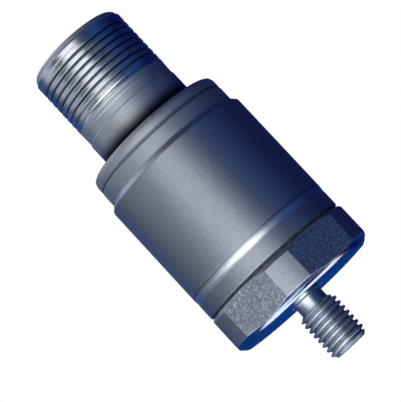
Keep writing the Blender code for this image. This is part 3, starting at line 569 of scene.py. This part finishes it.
def surface(name, rows, columns, materials, closed, centre=(0.0, 0.0), zone=None):
    """Mesh of a shape turned about an upright line: x = r cos a, y = r sin a, row by row.

    The rows run upwards on the outside. They join into a ring where closed is true, and
    otherwise the first and last row close on a pole. zone gives each face its material number.
    """
    row_count, column_count = rows.shape[:2]
    x = centre[0] + rows[:, :, 0] * np.cos(columns)
    y = centre[1] + rows[:, :, 0] * np.sin(columns)
    points = np.stack([x, y, rows[:, :, 1]], axis=2).reshape(-1, 3)
    index = np.arange(row_count * column_count).reshape(row_count, column_count)
    lower = index if closed else index[:-1]
    upper = np.roll(index, -1, axis=0) if closed else index[1:]
    quads = np.stack([lower, np.roll(lower, -1, axis=1), np.roll(upper, -1, axis=1), upper],
                     axis=2).reshape(-1, 4)
    corners = quads.ravel()
    sizes = np.full(len(quads), 4)
    if not closed:
        poles = np.array([[centre[0], centre[1], rows[0, :, 1].mean()],
                          [centre[0], centre[1], rows[-1, :, 1].mean()]])
        first_pole = len(points)
        points = np.concatenate([points, poles])
        bottom = np.stack([np.full(column_count, first_pole), np.roll(index[0], -1), index[0]], axis=1)
        top = np.stack([np.full(column_count, first_pole + 1), index[-1], np.roll(index[-1], -1)], axis=1)
        corners = np.concatenate([corners, bottom.ravel(), top.ravel()])
        sizes = np.concatenate([sizes, np.full(2 * column_count, 3)])
    mesh = bpy.data.meshes.new(name)
    mesh.vertices.add(len(points))
    mesh.vertices.foreach_set("co", points.ravel())
    mesh.loops.add(len(corners))
    mesh.loops.foreach_set("vertex_index", corners.astype(np.int32))
    mesh.polygons.add(len(sizes))
    starts = np.concatenate([[0], np.cumsum(sizes)[:-1]])
    mesh.polygons.foreach_set("loop_start", starts.astype(np.int32))
    mesh.polygons.foreach_set("loop_total", sizes.astype(np.int32))
    mesh.polygons.foreach_set("use_smooth", np.ones(len(sizes), dtype=bool))
    for material in materials:
        mesh.materials.append(material)
    if zone is not None:
        middles = points[quads].mean(axis=1)
        numbers = np.zeros(len(sizes), dtype=np.int32)
        numbers[:len(quads)] = zone(middles)
        mesh.polygons.foreach_set("material_index", numbers)
    mesh.update(calc_edges=True)
    mesh.validate()
    piece = bpy.data.objects.new(name, mesh)
    bpy.context.scene.collection.objects.link(piece)
    return piece


def stands_for(piece, node):
    """Let a piece ride on the sensor and stand for a CAD node, whose part it hides, where one is given."""
    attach(piece, "root")
    if node:
        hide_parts(node)
    return piece


def even_columns(count):
    """Angles spread evenly round a turn."""
    return np.arange(count) * TURN / count


def hexagon_columns():
    """Angles round the base: close pairs where each flat meets a rounded corner."""
    edge = FLAT_HALF_ANGLE
    hold = EDGE_HOLD_ANGLE
    flat = np.linspace(-edge + 3 * hold, edge - 3 * hold, FLAT_COLUMNS)
    corner = np.linspace(edge + 3 * hold, SIXTH - edge - 3 * hold, CORNER_COLUMNS)
    sector = np.concatenate([[-edge, -edge + hold], flat, [edge - hold],
                             [edge, edge + hold], corner, [SIXTH - edge - hold]])
    return (sector[None, :] + SIXTH * np.arange(6)[:, None]).ravel()


def from_flat(angle):
    """Angle from the middle of the nearest flat of the hexagon."""
    return angle - SIXTH * np.round(angle / SIXTH)


def hexagon_radius(angle):
    """Radius of the hexagon at an angle: across flats / 2 / cos(angle from the flat's middle)."""
    return np.minimum(CORNER_RADIUS, APOTHEM / np.cos(from_flat(angle)))


def thread_rows(low, high, pitch):
    """Heights for a thread, so close that its form shows."""
    return np.linspace(low, high, int((high - low) / pitch * ROWS_TO_PITCH))


def stud_rows(columns):
    """Stud from its end up to the relief: the thread, held under an end chamfer and a cone."""
    heights = thread_rows(STUD_END, RELIEF_END, STUD_PITCH)
    form = thread_height(heights[:, None], columns[None, :], STUD_PITCH, STUD_CREST_SHARE, STUD_CREST_HEIGHT)
    threaded = STUD_RADIUS - STUD_THREAD_DEPTH * (1 - form)
    chamfer = STUD_RADIUS - STUD_CHAMFER + (heights - STUD_END)
    relief = np.interp(heights, [RELIEF_CONE, RELIEF_END], [STUD_RADIUS, RELIEF_RADIUS])
    limit = np.minimum(np.minimum(chamfer, relief), STUD_RADIUS)
    radii = np.minimum(threaded, limit[:, None])
    return np.stack([radii, np.broadcast_to(heights[:, None], radii.shape)], axis=2)


def hexagon_base(finishes):
    """Base with its stud: threaded rows, then relief, face, hexagon, band, spigot and bolt hole.

    The finishes are those of body, flats, thread, relief, groove, chamfer and mounting face.
    """
    columns = hexagon_columns()
    flat_radius = hexagon_radius(columns)
    foot_slope = (CORNER_FOOT - FACE_CHAMFER) / (CORNER_RADIUS - SHOULDER_RADIUS)
    foot = FACE_CHAMFER + (flat_radius - SHOULDER_RADIUS) * foot_slope
    top_slope = (HEX_TOP - CORNER_TOP) / (CORNER_RADIUS - CONE_TOP_RADIUS)
    top = HEX_TOP - (flat_radius - CONE_TOP_RADIUS) * top_slope
    shoulder_row = around([(SHOULDER_RADIUS, FACE_CHAMFER)], columns)
    turned_rows = around([
        (flat_radius, foot),
        (flat_radius, top),
        (CONE_TOP_RADIUS, HEX_TOP),
        (GROOVE_RADIUS, HEX_TOP),
        (GROOVE_RADIUS, GROOVE_TOP),
        (BAND_RADIUS, GROOVE_TOP),
        (BAND_RADIUS, LOWER_WELD_FOOT),
        (CASE_RADIUS - 2 * WELD_SEAT, LOWER_WELD_FOOT + EDGE),
        (CASE_RADIUS - 2 * WELD_SEAT, SEAM),
        (SPIGOT_RADIUS, SEAM),
        (SPIGOT_RADIUS, SPIGOT_TOP - SPIGOT_CHAMFER),
        (SPIGOT_RADIUS - SPIGOT_CHAMFER, SPIGOT_TOP),
        (SPIGOT_INNER, SPIGOT_TOP),
        (SPIGOT_INNER, MOAT_FLOOR),
        (PEDESTAL_RADIUS, MOAT_FLOOR),
        (PEDESTAL_RADIUS, SPIGOT_TOP),
        (BOLT_HOLE_RADIUS, SPIGOT_TOP),
        (BOLT_HOLE_RADIUS, BOLT_HOLE_END),
        (POLE, BOLT_HOLE_TIP),
    ], columns)
    fillet = np.radians(np.linspace(0.0, 90.0, FILLET_STEPS + 1)[1:-1])
    relief = around([(RELIEF_RADIUS, RELIEF_END + EDGE), (RELIEF_RADIUS, -ROOT_FILLET)]
                    + [(RELIEF_RADIUS + ROOT_FILLET * (1 - math.cos(a)), -ROOT_FILLET * (1 - math.sin(a)))
                       for a in fillet]
                    + [(RELIEF_RADIUS + ROOT_FILLET, 0.0), (RELIEF_RADIUS + 2 * ROOT_FILLET, 0.0)], columns)
    chamfer = around([(APOTHEM - drop * MM, height * MM) for drop, height in FACE_CHAMFER_SHAPE], columns)
    foot_middle = (shoulder_row + turned_rows[:1]) / 2
    shoulder = softened(np.concatenate([chamfer[-1:], shoulder_row, foot_middle]), SHOULDER_ROUNDING)
    hexagon = softened(np.concatenate([foot_middle, turned_rows]), BASE_ROUNDING)
    rows = np.concatenate([stud_rows(columns), relief, chamfer, shoulder[1:-1], hexagon])

    def zone(middles):
        """Number of the finish at each face's middle, by its radius and height."""
        body, flats, thread, relief, groove, chamfer, face = range(7)
        flush = 0.002 * MM
        near = 0.01 * MM
        margin = 0.03 * MM
        radius = np.hypot(middles[:, 0], middles[:, 1])
        across = radius * np.cos(from_flat(np.arctan2(middles[:, 1], middles[:, 0])))
        height = middles[:, 2]
        on_flat = (np.abs(across - APOTHEM) < flush) & (height > FACE_CHAMFER) & (height < HEX_TOP)
        in_groove = (height > HEX_TOP - EDGE) & (height < GROOVE_TOP + margin)
        in_groove &= (radius < CONE_TOP_RADIUS - margin) & (radius > GROOVE_RADIUS - 2 * EDGE)
        foot_zone = np.where(height < near, face, chamfer)
        low = np.where(height < RELIEF_CONE, thread, np.where(radius > STUD_RADIUS, foot_zone, relief))
        foot_height = FACE_CHAMFER + np.maximum(radius - SHOULDER_RADIUS, 0.0) * foot_slope
        high = np.where(on_flat, flats, np.where(in_groove, groove, body))
        return np.where(height < foot_height + near, low, high)

    piece = surface("hexagon_base", rows, columns, finishes, closed=False, zone=zone)
    return stands_for(piece, "base")


def case_shell(satin, machined):
    """Case tube: plain wall, chamfer and reduced end, cut back where each weld lies."""
    columns = even_columns(TUBE_COLUMNS)
    rows = softened(around([
        (TUBE_BORE, TUBE_END),
        (TUBE_BORE, TUBE_FOOT),
        (CASE_RADIUS - 2 * WELD_SEAT, TUBE_FOOT),
        (CASE_RADIUS - 2 * WELD_SEAT, LOWER_WELD_HEAD - EDGE),
        (CASE_RADIUS - WELD_SINK, LOWER_WELD_HEAD),
        (CASE_RADIUS, LOWER_WELD_HEAD + WELD_SINK_RUN),
        (CASE_RADIUS, TUBE_CHAMFER),
        (NECKED_RADIUS, TUBE_SHOULDER),
        (NECKED_RADIUS, UPPER_WELD_FOOT - UPPER_GROOVE_RUN),
        (NECKED_RADIUS - 2 * WELD_SEAT, UPPER_WELD_FOOT + ROW_STEP),
        (NECKED_RADIUS - 2 * WELD_SEAT, TUBE_END),
        (TUBE_BORE, TUBE_END - CLOSING_STEP),
    ], columns), TUBE_ROUNDING)

    def zone(middles):
        """Number 1 on the reduced end and 0 on the rest."""
        return np.where(middles[:, 2] > TUBE_SHOULDER - 2 * EDGE, 1, 0)

    piece = surface("case_shell", rows[:-1], columns, (satin, machined), closed=True, zone=zone)
    return stands_for(piece, "case_tube")


def weld_bead(name, radius, shape, bead):
    """Weld bead round a seam, turned from rows of (drop under the radius, height).

    Between the rows the drop follows straight lines, eased by a running mean. Ripples add
    height * cos(count * angle - turn * lag), whose lag grows with the square of the distance
    from the middle, so that they are arcs, and they fade out at both ends.
    """
    ripples = int(round(TURN * radius / WELD_RIPPLE_PITCH))
    columns = even_columns(ripples * WELD_RIPPLE_COLUMNS)
    drops, heights = np.array(shape).T * MM
    fine = np.linspace(heights[0], heights[-1], WELD_ROWS)
    drop = np.interp(fine, heights, drops)
    drop[2:-2] = (drop[:-4] + drop[1:-3] + drop[2:-2] + drop[3:-1] + drop[4:]) / 5
    share = np.linspace(-1.0, 1.0, WELD_ROWS)[:, None]
    wave = np.cos(ripples * columns[None, :] - TURN * WELD_RIPPLE_LAG * share ** 2)
    outer = radius - drop[:, None] - WELD_RIPPLE_HEIGHT * (1 - share ** 4) * (1 - wave)
    skin = np.stack([outer, np.broadcast_to(fine[:, None], outer.shape)], axis=2)
    inner = radius - drops.max() - WELD_SEAT
    back = around([(inner, heights[-1]), (inner, heights[0])], columns)
    piece = surface(name, np.concatenate([skin, back]), columns, (bead,), closed=True)
    return stands_for(piece, None)


def barrel_rows(columns):
    """Thread of the barrel, which fades in above the neck and out below the rim's lead-in."""
    heights = thread_rows(THREAD_START, LEAD_IN_START, THREAD_PITCH)
    form = thread_height(heights[:, None], columns[None, :], THREAD_PITCH, THREAD_CREST_SHARE,
                         THREAD_CREST_HEIGHT)
    run_in = (heights - THREAD_START) / THREAD_RUN_IN
    run_out = (THREAD_STOP - heights) / THREAD_RUN_OUT
    run = np.clip(np.minimum(run_in, run_out), 0.0, 1.0)
    depth = THREAD_DEPTH * run * run * (3 - 2 * run)
    threaded = THREAD_RADIUS - depth[:, None] * (1 - form)
    limit = np.interp(heights, [THREAD_END, LEAD_IN_START], [THREAD_RADIUS, LEAD_IN_RADIUS])
    radii = np.minimum(threaded, limit[:, None])
    return np.stack([radii, np.broadcast_to(heights[:, None], radii.shape)], axis=2)


def connector_barrel(finishes):
    """Flange, neck and threaded barrel outside; rim, keyed socket, ledge and plug inside.

    The finishes are those of the flange and the inside, of the thread, and of neck and rim.
    """
    key_mouth = math.asin(KEYWAY_HALF / SOCKET_RADIUS)
    key_floor = math.atan(KEYWAY_HALF / KEYWAY_REACH)
    middle = TURN / 4
    key = np.linspace(-key_floor, key_floor, KEY_COLUMNS)
    rest = np.linspace(key_mouth, TURN - key_mouth, SOCKET_COLUMNS)
    columns = middle + np.concatenate([key, rest])
    in_key = np.arange(len(columns)) < len(key)
    key_radius = KEYWAY_REACH / np.cos(columns - middle)
    socket = np.where(in_key, key_radius, SOCKET_RADIUS)
    socket_mouth = np.maximum(socket, SOCKET_RADIUS + SOCKET_CHAMFER)

    bend = [(LOWER_NECK_RADIUS + NECK_FILLET * (1 - math.sin(a)),
             FLANGE_TOP + NECK_FILLET * (1 - math.cos(a)))
            for a in np.linspace(0.0, TURN / 4, NECK_FILLET_ROWS)]
    lower = softened(around([
        (LEDGE_RADIUS, LEDGE),
        (LEDGE_RADIUS, PLUG_END),
        (SPIGOT_RADIUS - SPIGOT_CHAMFER, PLUG_END),
        (SPIGOT_RADIUS, PLUG_END + SPIGOT_CHAMFER),
        (SPIGOT_RADIUS, FLANGE_UNDERSIDE),
        (FLANGE_RADIUS, FLANGE_UNDERSIDE),
        (FLANGE_RADIUS, UPPER_WELD_HEAD),
        (FLANGE_TOP_RADIUS, FLANGE_TOP),
        bend[0],
    ], columns), FLANGE_ROUNDING)
    neck = softened(around([
        bend[-1],
        (LOWER_NECK_RADIUS, NECK_STEP),
        (UPPER_NECK_RADIUS, NECK_STEP_TOP),
        (UPPER_NECK_RADIUS, LOW_RING),
        (LOW_RING_RADIUS, LOW_RING_TOP),
        (HIGH_RING_RADIUS, HIGH_RING),
        (THREAD_RADIUS, HIGH_RING_TOP),
        (THREAD_RADIUS, THREAD_START),
    ], columns), NECK_ROUNDING)
    upper = softened(around([
        (LEAD_IN_RADIUS, LEAD_IN_START),
        (LEAD_IN_RADIUS, RIM - RIM_CHAMFER),
        (LEAD_IN_RADIUS - RIM_CHAMFER, RIM),
        (socket_mouth, RIM),
        (socket, RIM - SOCKET_CHAMFER),
        (socket, GLASS_HIGH.z),
        (SOCKET_RADIUS, GLASS_HIGH.z - EDGE),
        (SOCKET_RADIUS, LEDGE),
        (LEDGE_RADIUS, LEDGE),
    ], columns), RIM_ROUNDING)
    rows = np.concatenate([lower, around(bend[1:-1], columns), neck[:-1], barrel_rows(columns)[:-1],
                           upper[:-1]])

    def zone(middles):
        """Number 1 on the thread, 2 on the neck below it and the rim above it, and 0 on the rest."""
        outside = (SOCKET_RADIUS + THREAD_RADIUS) / 2
        margin = 0.1 * MM
        radius = np.hypot(middles[:, 0], middles[:, 1])
        height = middles[:, 2]
        on_thread = (height > THREAD_START + 2 * margin) & (height < THREAD_END) & (radius > outside)
        on_neck = (height > FLANGE_TOP + margin) & (radius < LOWER_NECK_RADIUS + 3 * margin)
        return np.where(on_thread, 1, np.where(on_neck, 2, 0))

    piece = surface("connector_barrel", rows, columns, finishes, closed=True, zone=zone)
    return stands_for(piece, "connector_shell")


def seal_disc(glass):
    """Glass disc, dished by a cosine between its edge and the pins' circle."""
    columns = even_columns(GLASS_COLUMNS)
    radius = SOCKET_RADIUS - SEAT
    inner = PIN_CIRCLE + PIN_RADIUS
    across = np.linspace(radius, inner, GLASS_DISH_ROWS)
    dish = GLASS_DISH / 2 * (1 - np.cos(TURN * (radius - across) / (radius - inner)))
    top = [(r, GLASS_HIGH.z - d) for r, d in zip(across, dish)]
    middle = [(r, GLASS_HIGH.z) for r in np.linspace(inner, POLE, GLASS_MIDDLE_ROWS)[1:]]
    under = [(r, GLASS_LOW.z) for r in np.linspace(POLE, radius, GLASS_UNDER_ROWS)]
    wall = [(radius, GLASS_LOW.z + EDGE), (radius, GLASS_HIGH.z - EDGE)]
    rows = around(under + wall + top + middle, columns)
    piece = surface("seal_disc", rows, columns, (glass,), closed=False)
    return stands_for(piece, "glass_seal")


def contact_pin(node, angle, gold):
    """Pin with a half-round tip, a collar under the glass and a notched solder cup."""
    turn = math.radians(angle)
    centre = (PIN_CIRCLE * math.cos(turn), PIN_CIRCLE * math.sin(turn))
    columns = turn + even_columns(PIN_COLUMNS)
    notch_half = math.asin(CUP_BORE / CUP_RADIUS)
    off = np.abs((columns - turn + TURN / 2) % TURN - TURN / 2)
    mouth = PIN_LOW.z + np.where(off < notch_half, CUP_NOTCH, 0.0)
    collar = GLASS_LOW.z - SEAT
    tip = [(PIN_RADIUS * math.cos(a), PIN_HIGH.z - PIN_RADIUS * (1 - math.sin(a)))
           for a in np.linspace(0.0, TURN / 4, PIN_TIP_ROWS)[:-1]]
    rows = around([
        (POLE, PIN_LOW.z + CUP_DEPTH),
        (CUP_BORE - EDGE, PIN_LOW.z + CUP_DEPTH),
        (CUP_BORE, PIN_LOW.z + CUP_DEPTH - EDGE),
        (CUP_BORE, mouth + ROW_STEP),
        (CUP_RADIUS, mouth),
        (CUP_RADIUS, collar - COLLAR_EDGE),
        (CUP_RADIUS - COLLAR_EDGE, collar),
        (PIN_RADIUS, collar + ROW_STEP),
    ] + tip + [(TIP_POLE, PIN_HIGH.z)], columns)
    piece = surface("pin" + node[-2:], rows, columns, (gold,), closed=False, centre=centre)
    return stands_for(piece, node)


def dress_hidden_nodes(finishes):
    """Give each CAD node inside the case the finish of its record slot."""
    slots = {part["node"]: part["material_slot"] for part in frame["record"]["subparts"]}
    for name, node in frame["nodes"].items():
        material = finishes.get(slots[name])
        if material is not None:
            node.data.materials.clear()
            node.data.materials.append(material)


def white_for_sight(tree, other):
    """White of strength 1 for camera, glossy and transmission rays, and another shader for the rest."""
    path = add_node(tree, "ShaderNodeLightPath")
    first = add_node(tree, "ShaderNodeMath", {"operation": "MAXIMUM"})
    tree.links.new(path.outputs["Is Camera Ray"], first.inputs[0])
    tree.links.new(path.outputs["Is Glossy Ray"], first.inputs[1])
    either = add_node(tree, "ShaderNodeMath", {"operation": "MAXIMUM"})
    tree.links.new(first.outputs["Value"], either.inputs[0])
    tree.links.new(path.outputs["Is Transmission Ray"], either.inputs[1])
    white = add_node(tree, "ShaderNodeEmission", inputs={"Color": (1.0, 1.0, 1.0, 1.0), "Strength": 1.0})
    mix = add_node(tree, "ShaderNodeMixShader", inputs={"Fac": either.outputs["Value"]})
    tree.links.new(other, mix.inputs[1])
    tree.links.new(white.outputs["Emission"], mix.inputs[2])
    return mix.outputs["Shader"]


def pale_floor():
    """Plain white floor, a square far below the sensor."""
    corners = [(x, y, FLOOR_LEVEL) for x, y in (
        (-FLOOR_REACH, -FLOOR_REACH), (FLOOR_REACH, -FLOOR_REACH), (FLOOR_REACH, FLOOR_REACH),
        (-FLOOR_REACH, FLOOR_REACH))]
    mesh = bpy.data.meshes.new("floor")
    mesh.from_pydata(corners, [], [(0, 1, 2, 3)])
    floor = bpy.data.objects.new("floor", mesh)
    bpy.context.scene.collection.objects.link(floor)
    material = bpy.data.materials.new("white_floor")
    material.use_nodes = True
    tree = material.node_tree
    tree.nodes.clear()
    paint = add_node(tree, "ShaderNodeBsdfDiffuse", inputs={"Color": linear("#e8e8ea")})
    output = add_node(tree, "ShaderNodeOutputMaterial")
    tree.links.new(white_for_sight(tree, paint.outputs["BSDF"]), output.inputs["Surface"])
    mesh.materials.append(material)


def white_world():
    """World: white to the camera and in reflections, and a dim cool fill otherwise."""
    world = bpy.data.worlds.new("white_world")
    world.use_nodes = True
    tree = world.node_tree
    tree.nodes.clear()
    fill = add_node(tree, "ShaderNodeBackground", inputs={"Color": linear("#8fa3c4"), "Strength": 0.3})
    output = add_node(tree, "ShaderNodeOutputWorld")
    tree.links.new(white_for_sight(tree, fill.outputs["Background"]), output.inputs["Surface"])
    bpy.context.scene.world = world


def blue_tent(camera_place):
    """Dark blue cloth tent round the set, open behind the sensor, which the metal mirrors.

    It is a sphere on rings of polar angle, whose pole is the line of sight, without its first
    rings. The camera stands in it but doesn't see it, so only reflections and light do. Its colour
    follows the angle round the upright axis, from the back over the left, front and right.
    """
    polar = np.linspace(TENT_MOUTH, math.pi, TENT_ROWS)[:, None]
    columns = even_columns(TENT_COLUMNS)[None, :]
    along = (Vector((0.0, 0.0, AIM_HEIGHT)) - camera_place).normalized()
    turn = Vector((0.0, 0.0, 1.0)).rotation_difference(along).to_matrix()
    local = TENT_RADIUS * np.stack([np.sin(polar) * np.cos(columns), np.sin(polar) * np.sin(columns),
                                    np.cos(polar) * np.ones_like(columns)], axis=2).reshape(-1, 3)
    points = local @ np.array(turn).T
    index = np.arange(TENT_ROWS * TENT_COLUMNS).reshape(TENT_ROWS, TENT_COLUMNS)
    faces = np.stack([index[:-1], index[1:], np.roll(index[1:], -1, axis=1),
                      np.roll(index[:-1], -1, axis=1)], axis=2).reshape(-1, 4)
    mesh = bpy.data.meshes.new("light_tent")
    mesh.from_pydata(points.tolist(), [], faces.tolist())
    tent = bpy.data.objects.new("light_tent", mesh)
    bpy.context.scene.collection.objects.link(tent)
    tent.visible_camera = False
    material = bpy.data.materials.new("blue_cloth")
    material.use_nodes = True
    tree = material.node_tree
    tree.nodes.clear()
    place = add_node(tree, "ShaderNodeTexCoord").outputs["Object"]
    axes = add_node(tree, "ShaderNodeSeparateXYZ", inputs={"Vector": place})
    ahead = add_node(tree, "ShaderNodeMath", {"operation": "MULTIPLY"})
    tree.links.new(axes.outputs["Y"], ahead.inputs[0])
    ahead.inputs[1].default_value = -1.0
    heading = add_node(tree, "ShaderNodeMath", {"operation": "ARCTAN2"})
    tree.links.new(axes.outputs["X"], heading.inputs[0])
    tree.links.new(ahead.outputs["Value"], heading.inputs[1])
    share = add_node(tree, "ShaderNodeMapRange", inputs={
        "Value": heading.outputs["Value"], "From Min": -math.pi, "From Max": math.pi})
    ramp = add_node(tree, "ShaderNodeValToRGB", inputs={"Fac": share.outputs["Result"]})
    while len(ramp.color_ramp.elements) < len(TENT_STOPS):
        ramp.color_ramp.elements.new(0.5)
    for element, (degrees, colour) in zip(ramp.color_ramp.elements, TENT_STOPS):
        element.position = degrees / 360 + 0.5
        element.color = linear(colour)
    glow = add_node(tree, "ShaderNodeEmission", inputs={"Color": ramp.outputs["Color"], "Strength": 1.0})
    output = add_node(tree, "ShaderNodeOutputMaterial")
    tree.links.new(glow.outputs["Emission"], output.inputs["Surface"])
    material.cycles.emission_sampling = "NONE"
    mesh.materials.append(material)


def softbox(name, azimuth, elevation, width, height, level, colour, distance):
    """Rectangular lamp at a distance from the middle of the sensor, azimuth from -Y, the camera's side.

    Width and height are angles as seen from there, so a side is 2 * distance * tan(angle / 2).
    Its level is how bright it looks, with white at 1: the power is 4 * level * area.
    """
    data = bpy.data.lights.new(name, "AREA")
    data.shape = "RECTANGLE"
    data.size = 2 * distance * math.tan(math.radians(width / 2))
    data.size_y = 2 * distance * math.tan(math.radians(height / 2))
    data.energy = 4 * level * data.size * data.size_y
    data.color = linear(colour)[:3]
    lamp = bpy.data.objects.new(name, data)
    bpy.context.scene.collection.objects.link(lamp)
    turn = math.radians(azimuth)
    rise = math.radians(elevation)
    towards = Vector((math.sin(turn) * math.cos(rise), -math.cos(turn) * math.cos(rise), math.sin(rise)))
    lamp.location = Vector((0.0, 0.0, AIM_HEIGHT)) + towards * distance
    lamp.rotation_mode = "QUATERNION"
    lamp.rotation_quaternion = (-towards).to_track_quat("-Z", "Y")
    lamp.visible_camera = False


def place_camera():
    """Camera as fitted to the rings of the photographed sensor, rolled about its line of sight."""
    turn = math.radians(CAMERA_AZIMUTH)
    outward = Vector((-math.sin(turn), -math.cos(turn), 0.0))
    side = Vector((0.0, 0.0, 1.0)).cross(outward)
    place = outward * CAMERA_DISTANCE + Vector((0.0, 0.0, CAMERA_HEIGHT))
    aim = side * AIM_SIDE + Vector((0.0, 0.0, AIM_HEIGHT))
    data = bpy.data.cameras.new("camera")
    data.sensor_width = SENSOR_MM
    data.lens = FOCAL_PIXELS * SENSOR_MM / FRAME_PIXELS
    data.clip_start = CLIP_START
    camera = bpy.data.objects.new("camera", data)
    bpy.context.scene.collection.objects.link(camera)
    camera.location = place
    camera.rotation_mode = "QUATERNION"
    roll = Quaternion((0.0, 0.0, 1.0), math.radians(CAMERA_ROLL))
    camera.rotation_quaternion = (aim - place).to_track_quat("-Z", "Y") @ roll
    bpy.context.scene.camera = camera
    return place


eye = place_camera()
white_world()
pale_floor()
blue_tent(eye)
for lamp in LAMPS:
    softbox(*lamp)

# The case's blasted steel, and the duller machined steel of its reduced end
case_finish = blasted_steel("blasted_case_steel", 0.4, 0.47, "#a6a8ac", "#ccced1")
shoulder_finish = blasted_steel("machined_shoulder_steel", 0.5, 0.56, "#afb1b5", "#cccdd0")
# Threads: a gloss, with lighter crests and painted shade in the darker roots
stud_finish = threaded_steel("threaded_stud_steel", 0.36, 0.44, STUD_RADIUS - STUD_THREAD_DEPTH, STUD_RADIUS,
                             "#b2b5bb", "#d9dadd")
barrel_finish = threaded_steel("threaded_barrel_steel", 0.29, 0.37, THREAD_RADIUS - THREAD_DEPTH,
                               THREAD_RADIUS, "#5f636a", "#e6e7e9")
# Turned relief, finely turned chamfer and lapped mounting face: each smoother and clearer in what it mirrors
relief_finish = turned_steel("turned_relief_steel", 0.28, 0.36, "#ced0d3", 0.002 * MM)
chamfer_finish = turned_steel("turned_chamfer_steel", 0.14, 0.2, "#c4c6ca", 0.0003 * MM)
face_finish = turned_steel("lapped_face_steel", 0.035, 0.045, "#c4c6ca")
# The lower weld is bright, with painted shade darkening its upward-facing top; the upper one is duller, dark
# at its foot and light above
lower_weld_finish = weld_steel("bright_weld_steel", 0.32, 0.4, "#a8aaad", "#f2f1ef",
                               LOWER_WELD_SHADED, LOWER_WELD_UNSHADED)
upper_weld_finish = weld_steel("dull_weld_steel", 0.48, 0.56, "#77797d", "#c6c7c9",
                               UPPER_WELD_DARK, UPPER_WELD_LIGHT)
pin_finish = plain_finish(*PIN_FINISH)

hexagon_base((case_finish, etched_flat_steel(), stud_finish, relief_finish, groove_shade_steel(), chamfer_finish,
              face_finish))
case_shell(case_finish, shoulder_finish)
connector_barrel((case_finish, barrel_finish, neck_steel()))
weld_bead("lower_weld", CASE_RADIUS, LOWER_WELD_SHAPE, lower_weld_finish)
weld_bead("upper_weld", NECKED_RADIUS, UPPER_WELD_SHAPE, upper_weld_finish)
seal_disc(sealing_glass())
for pin_node, pin_angle in zip(PIN_NODES, PIN_ANGLES):
    contact_pin(pin_node, pin_angle, pin_finish)
dress_hidden_nodes({slot: plain_finish(*values) for slot, values in INNER_FINISHES.items()})

bpy.context.scene.view_settings.view_transform = "Standard"
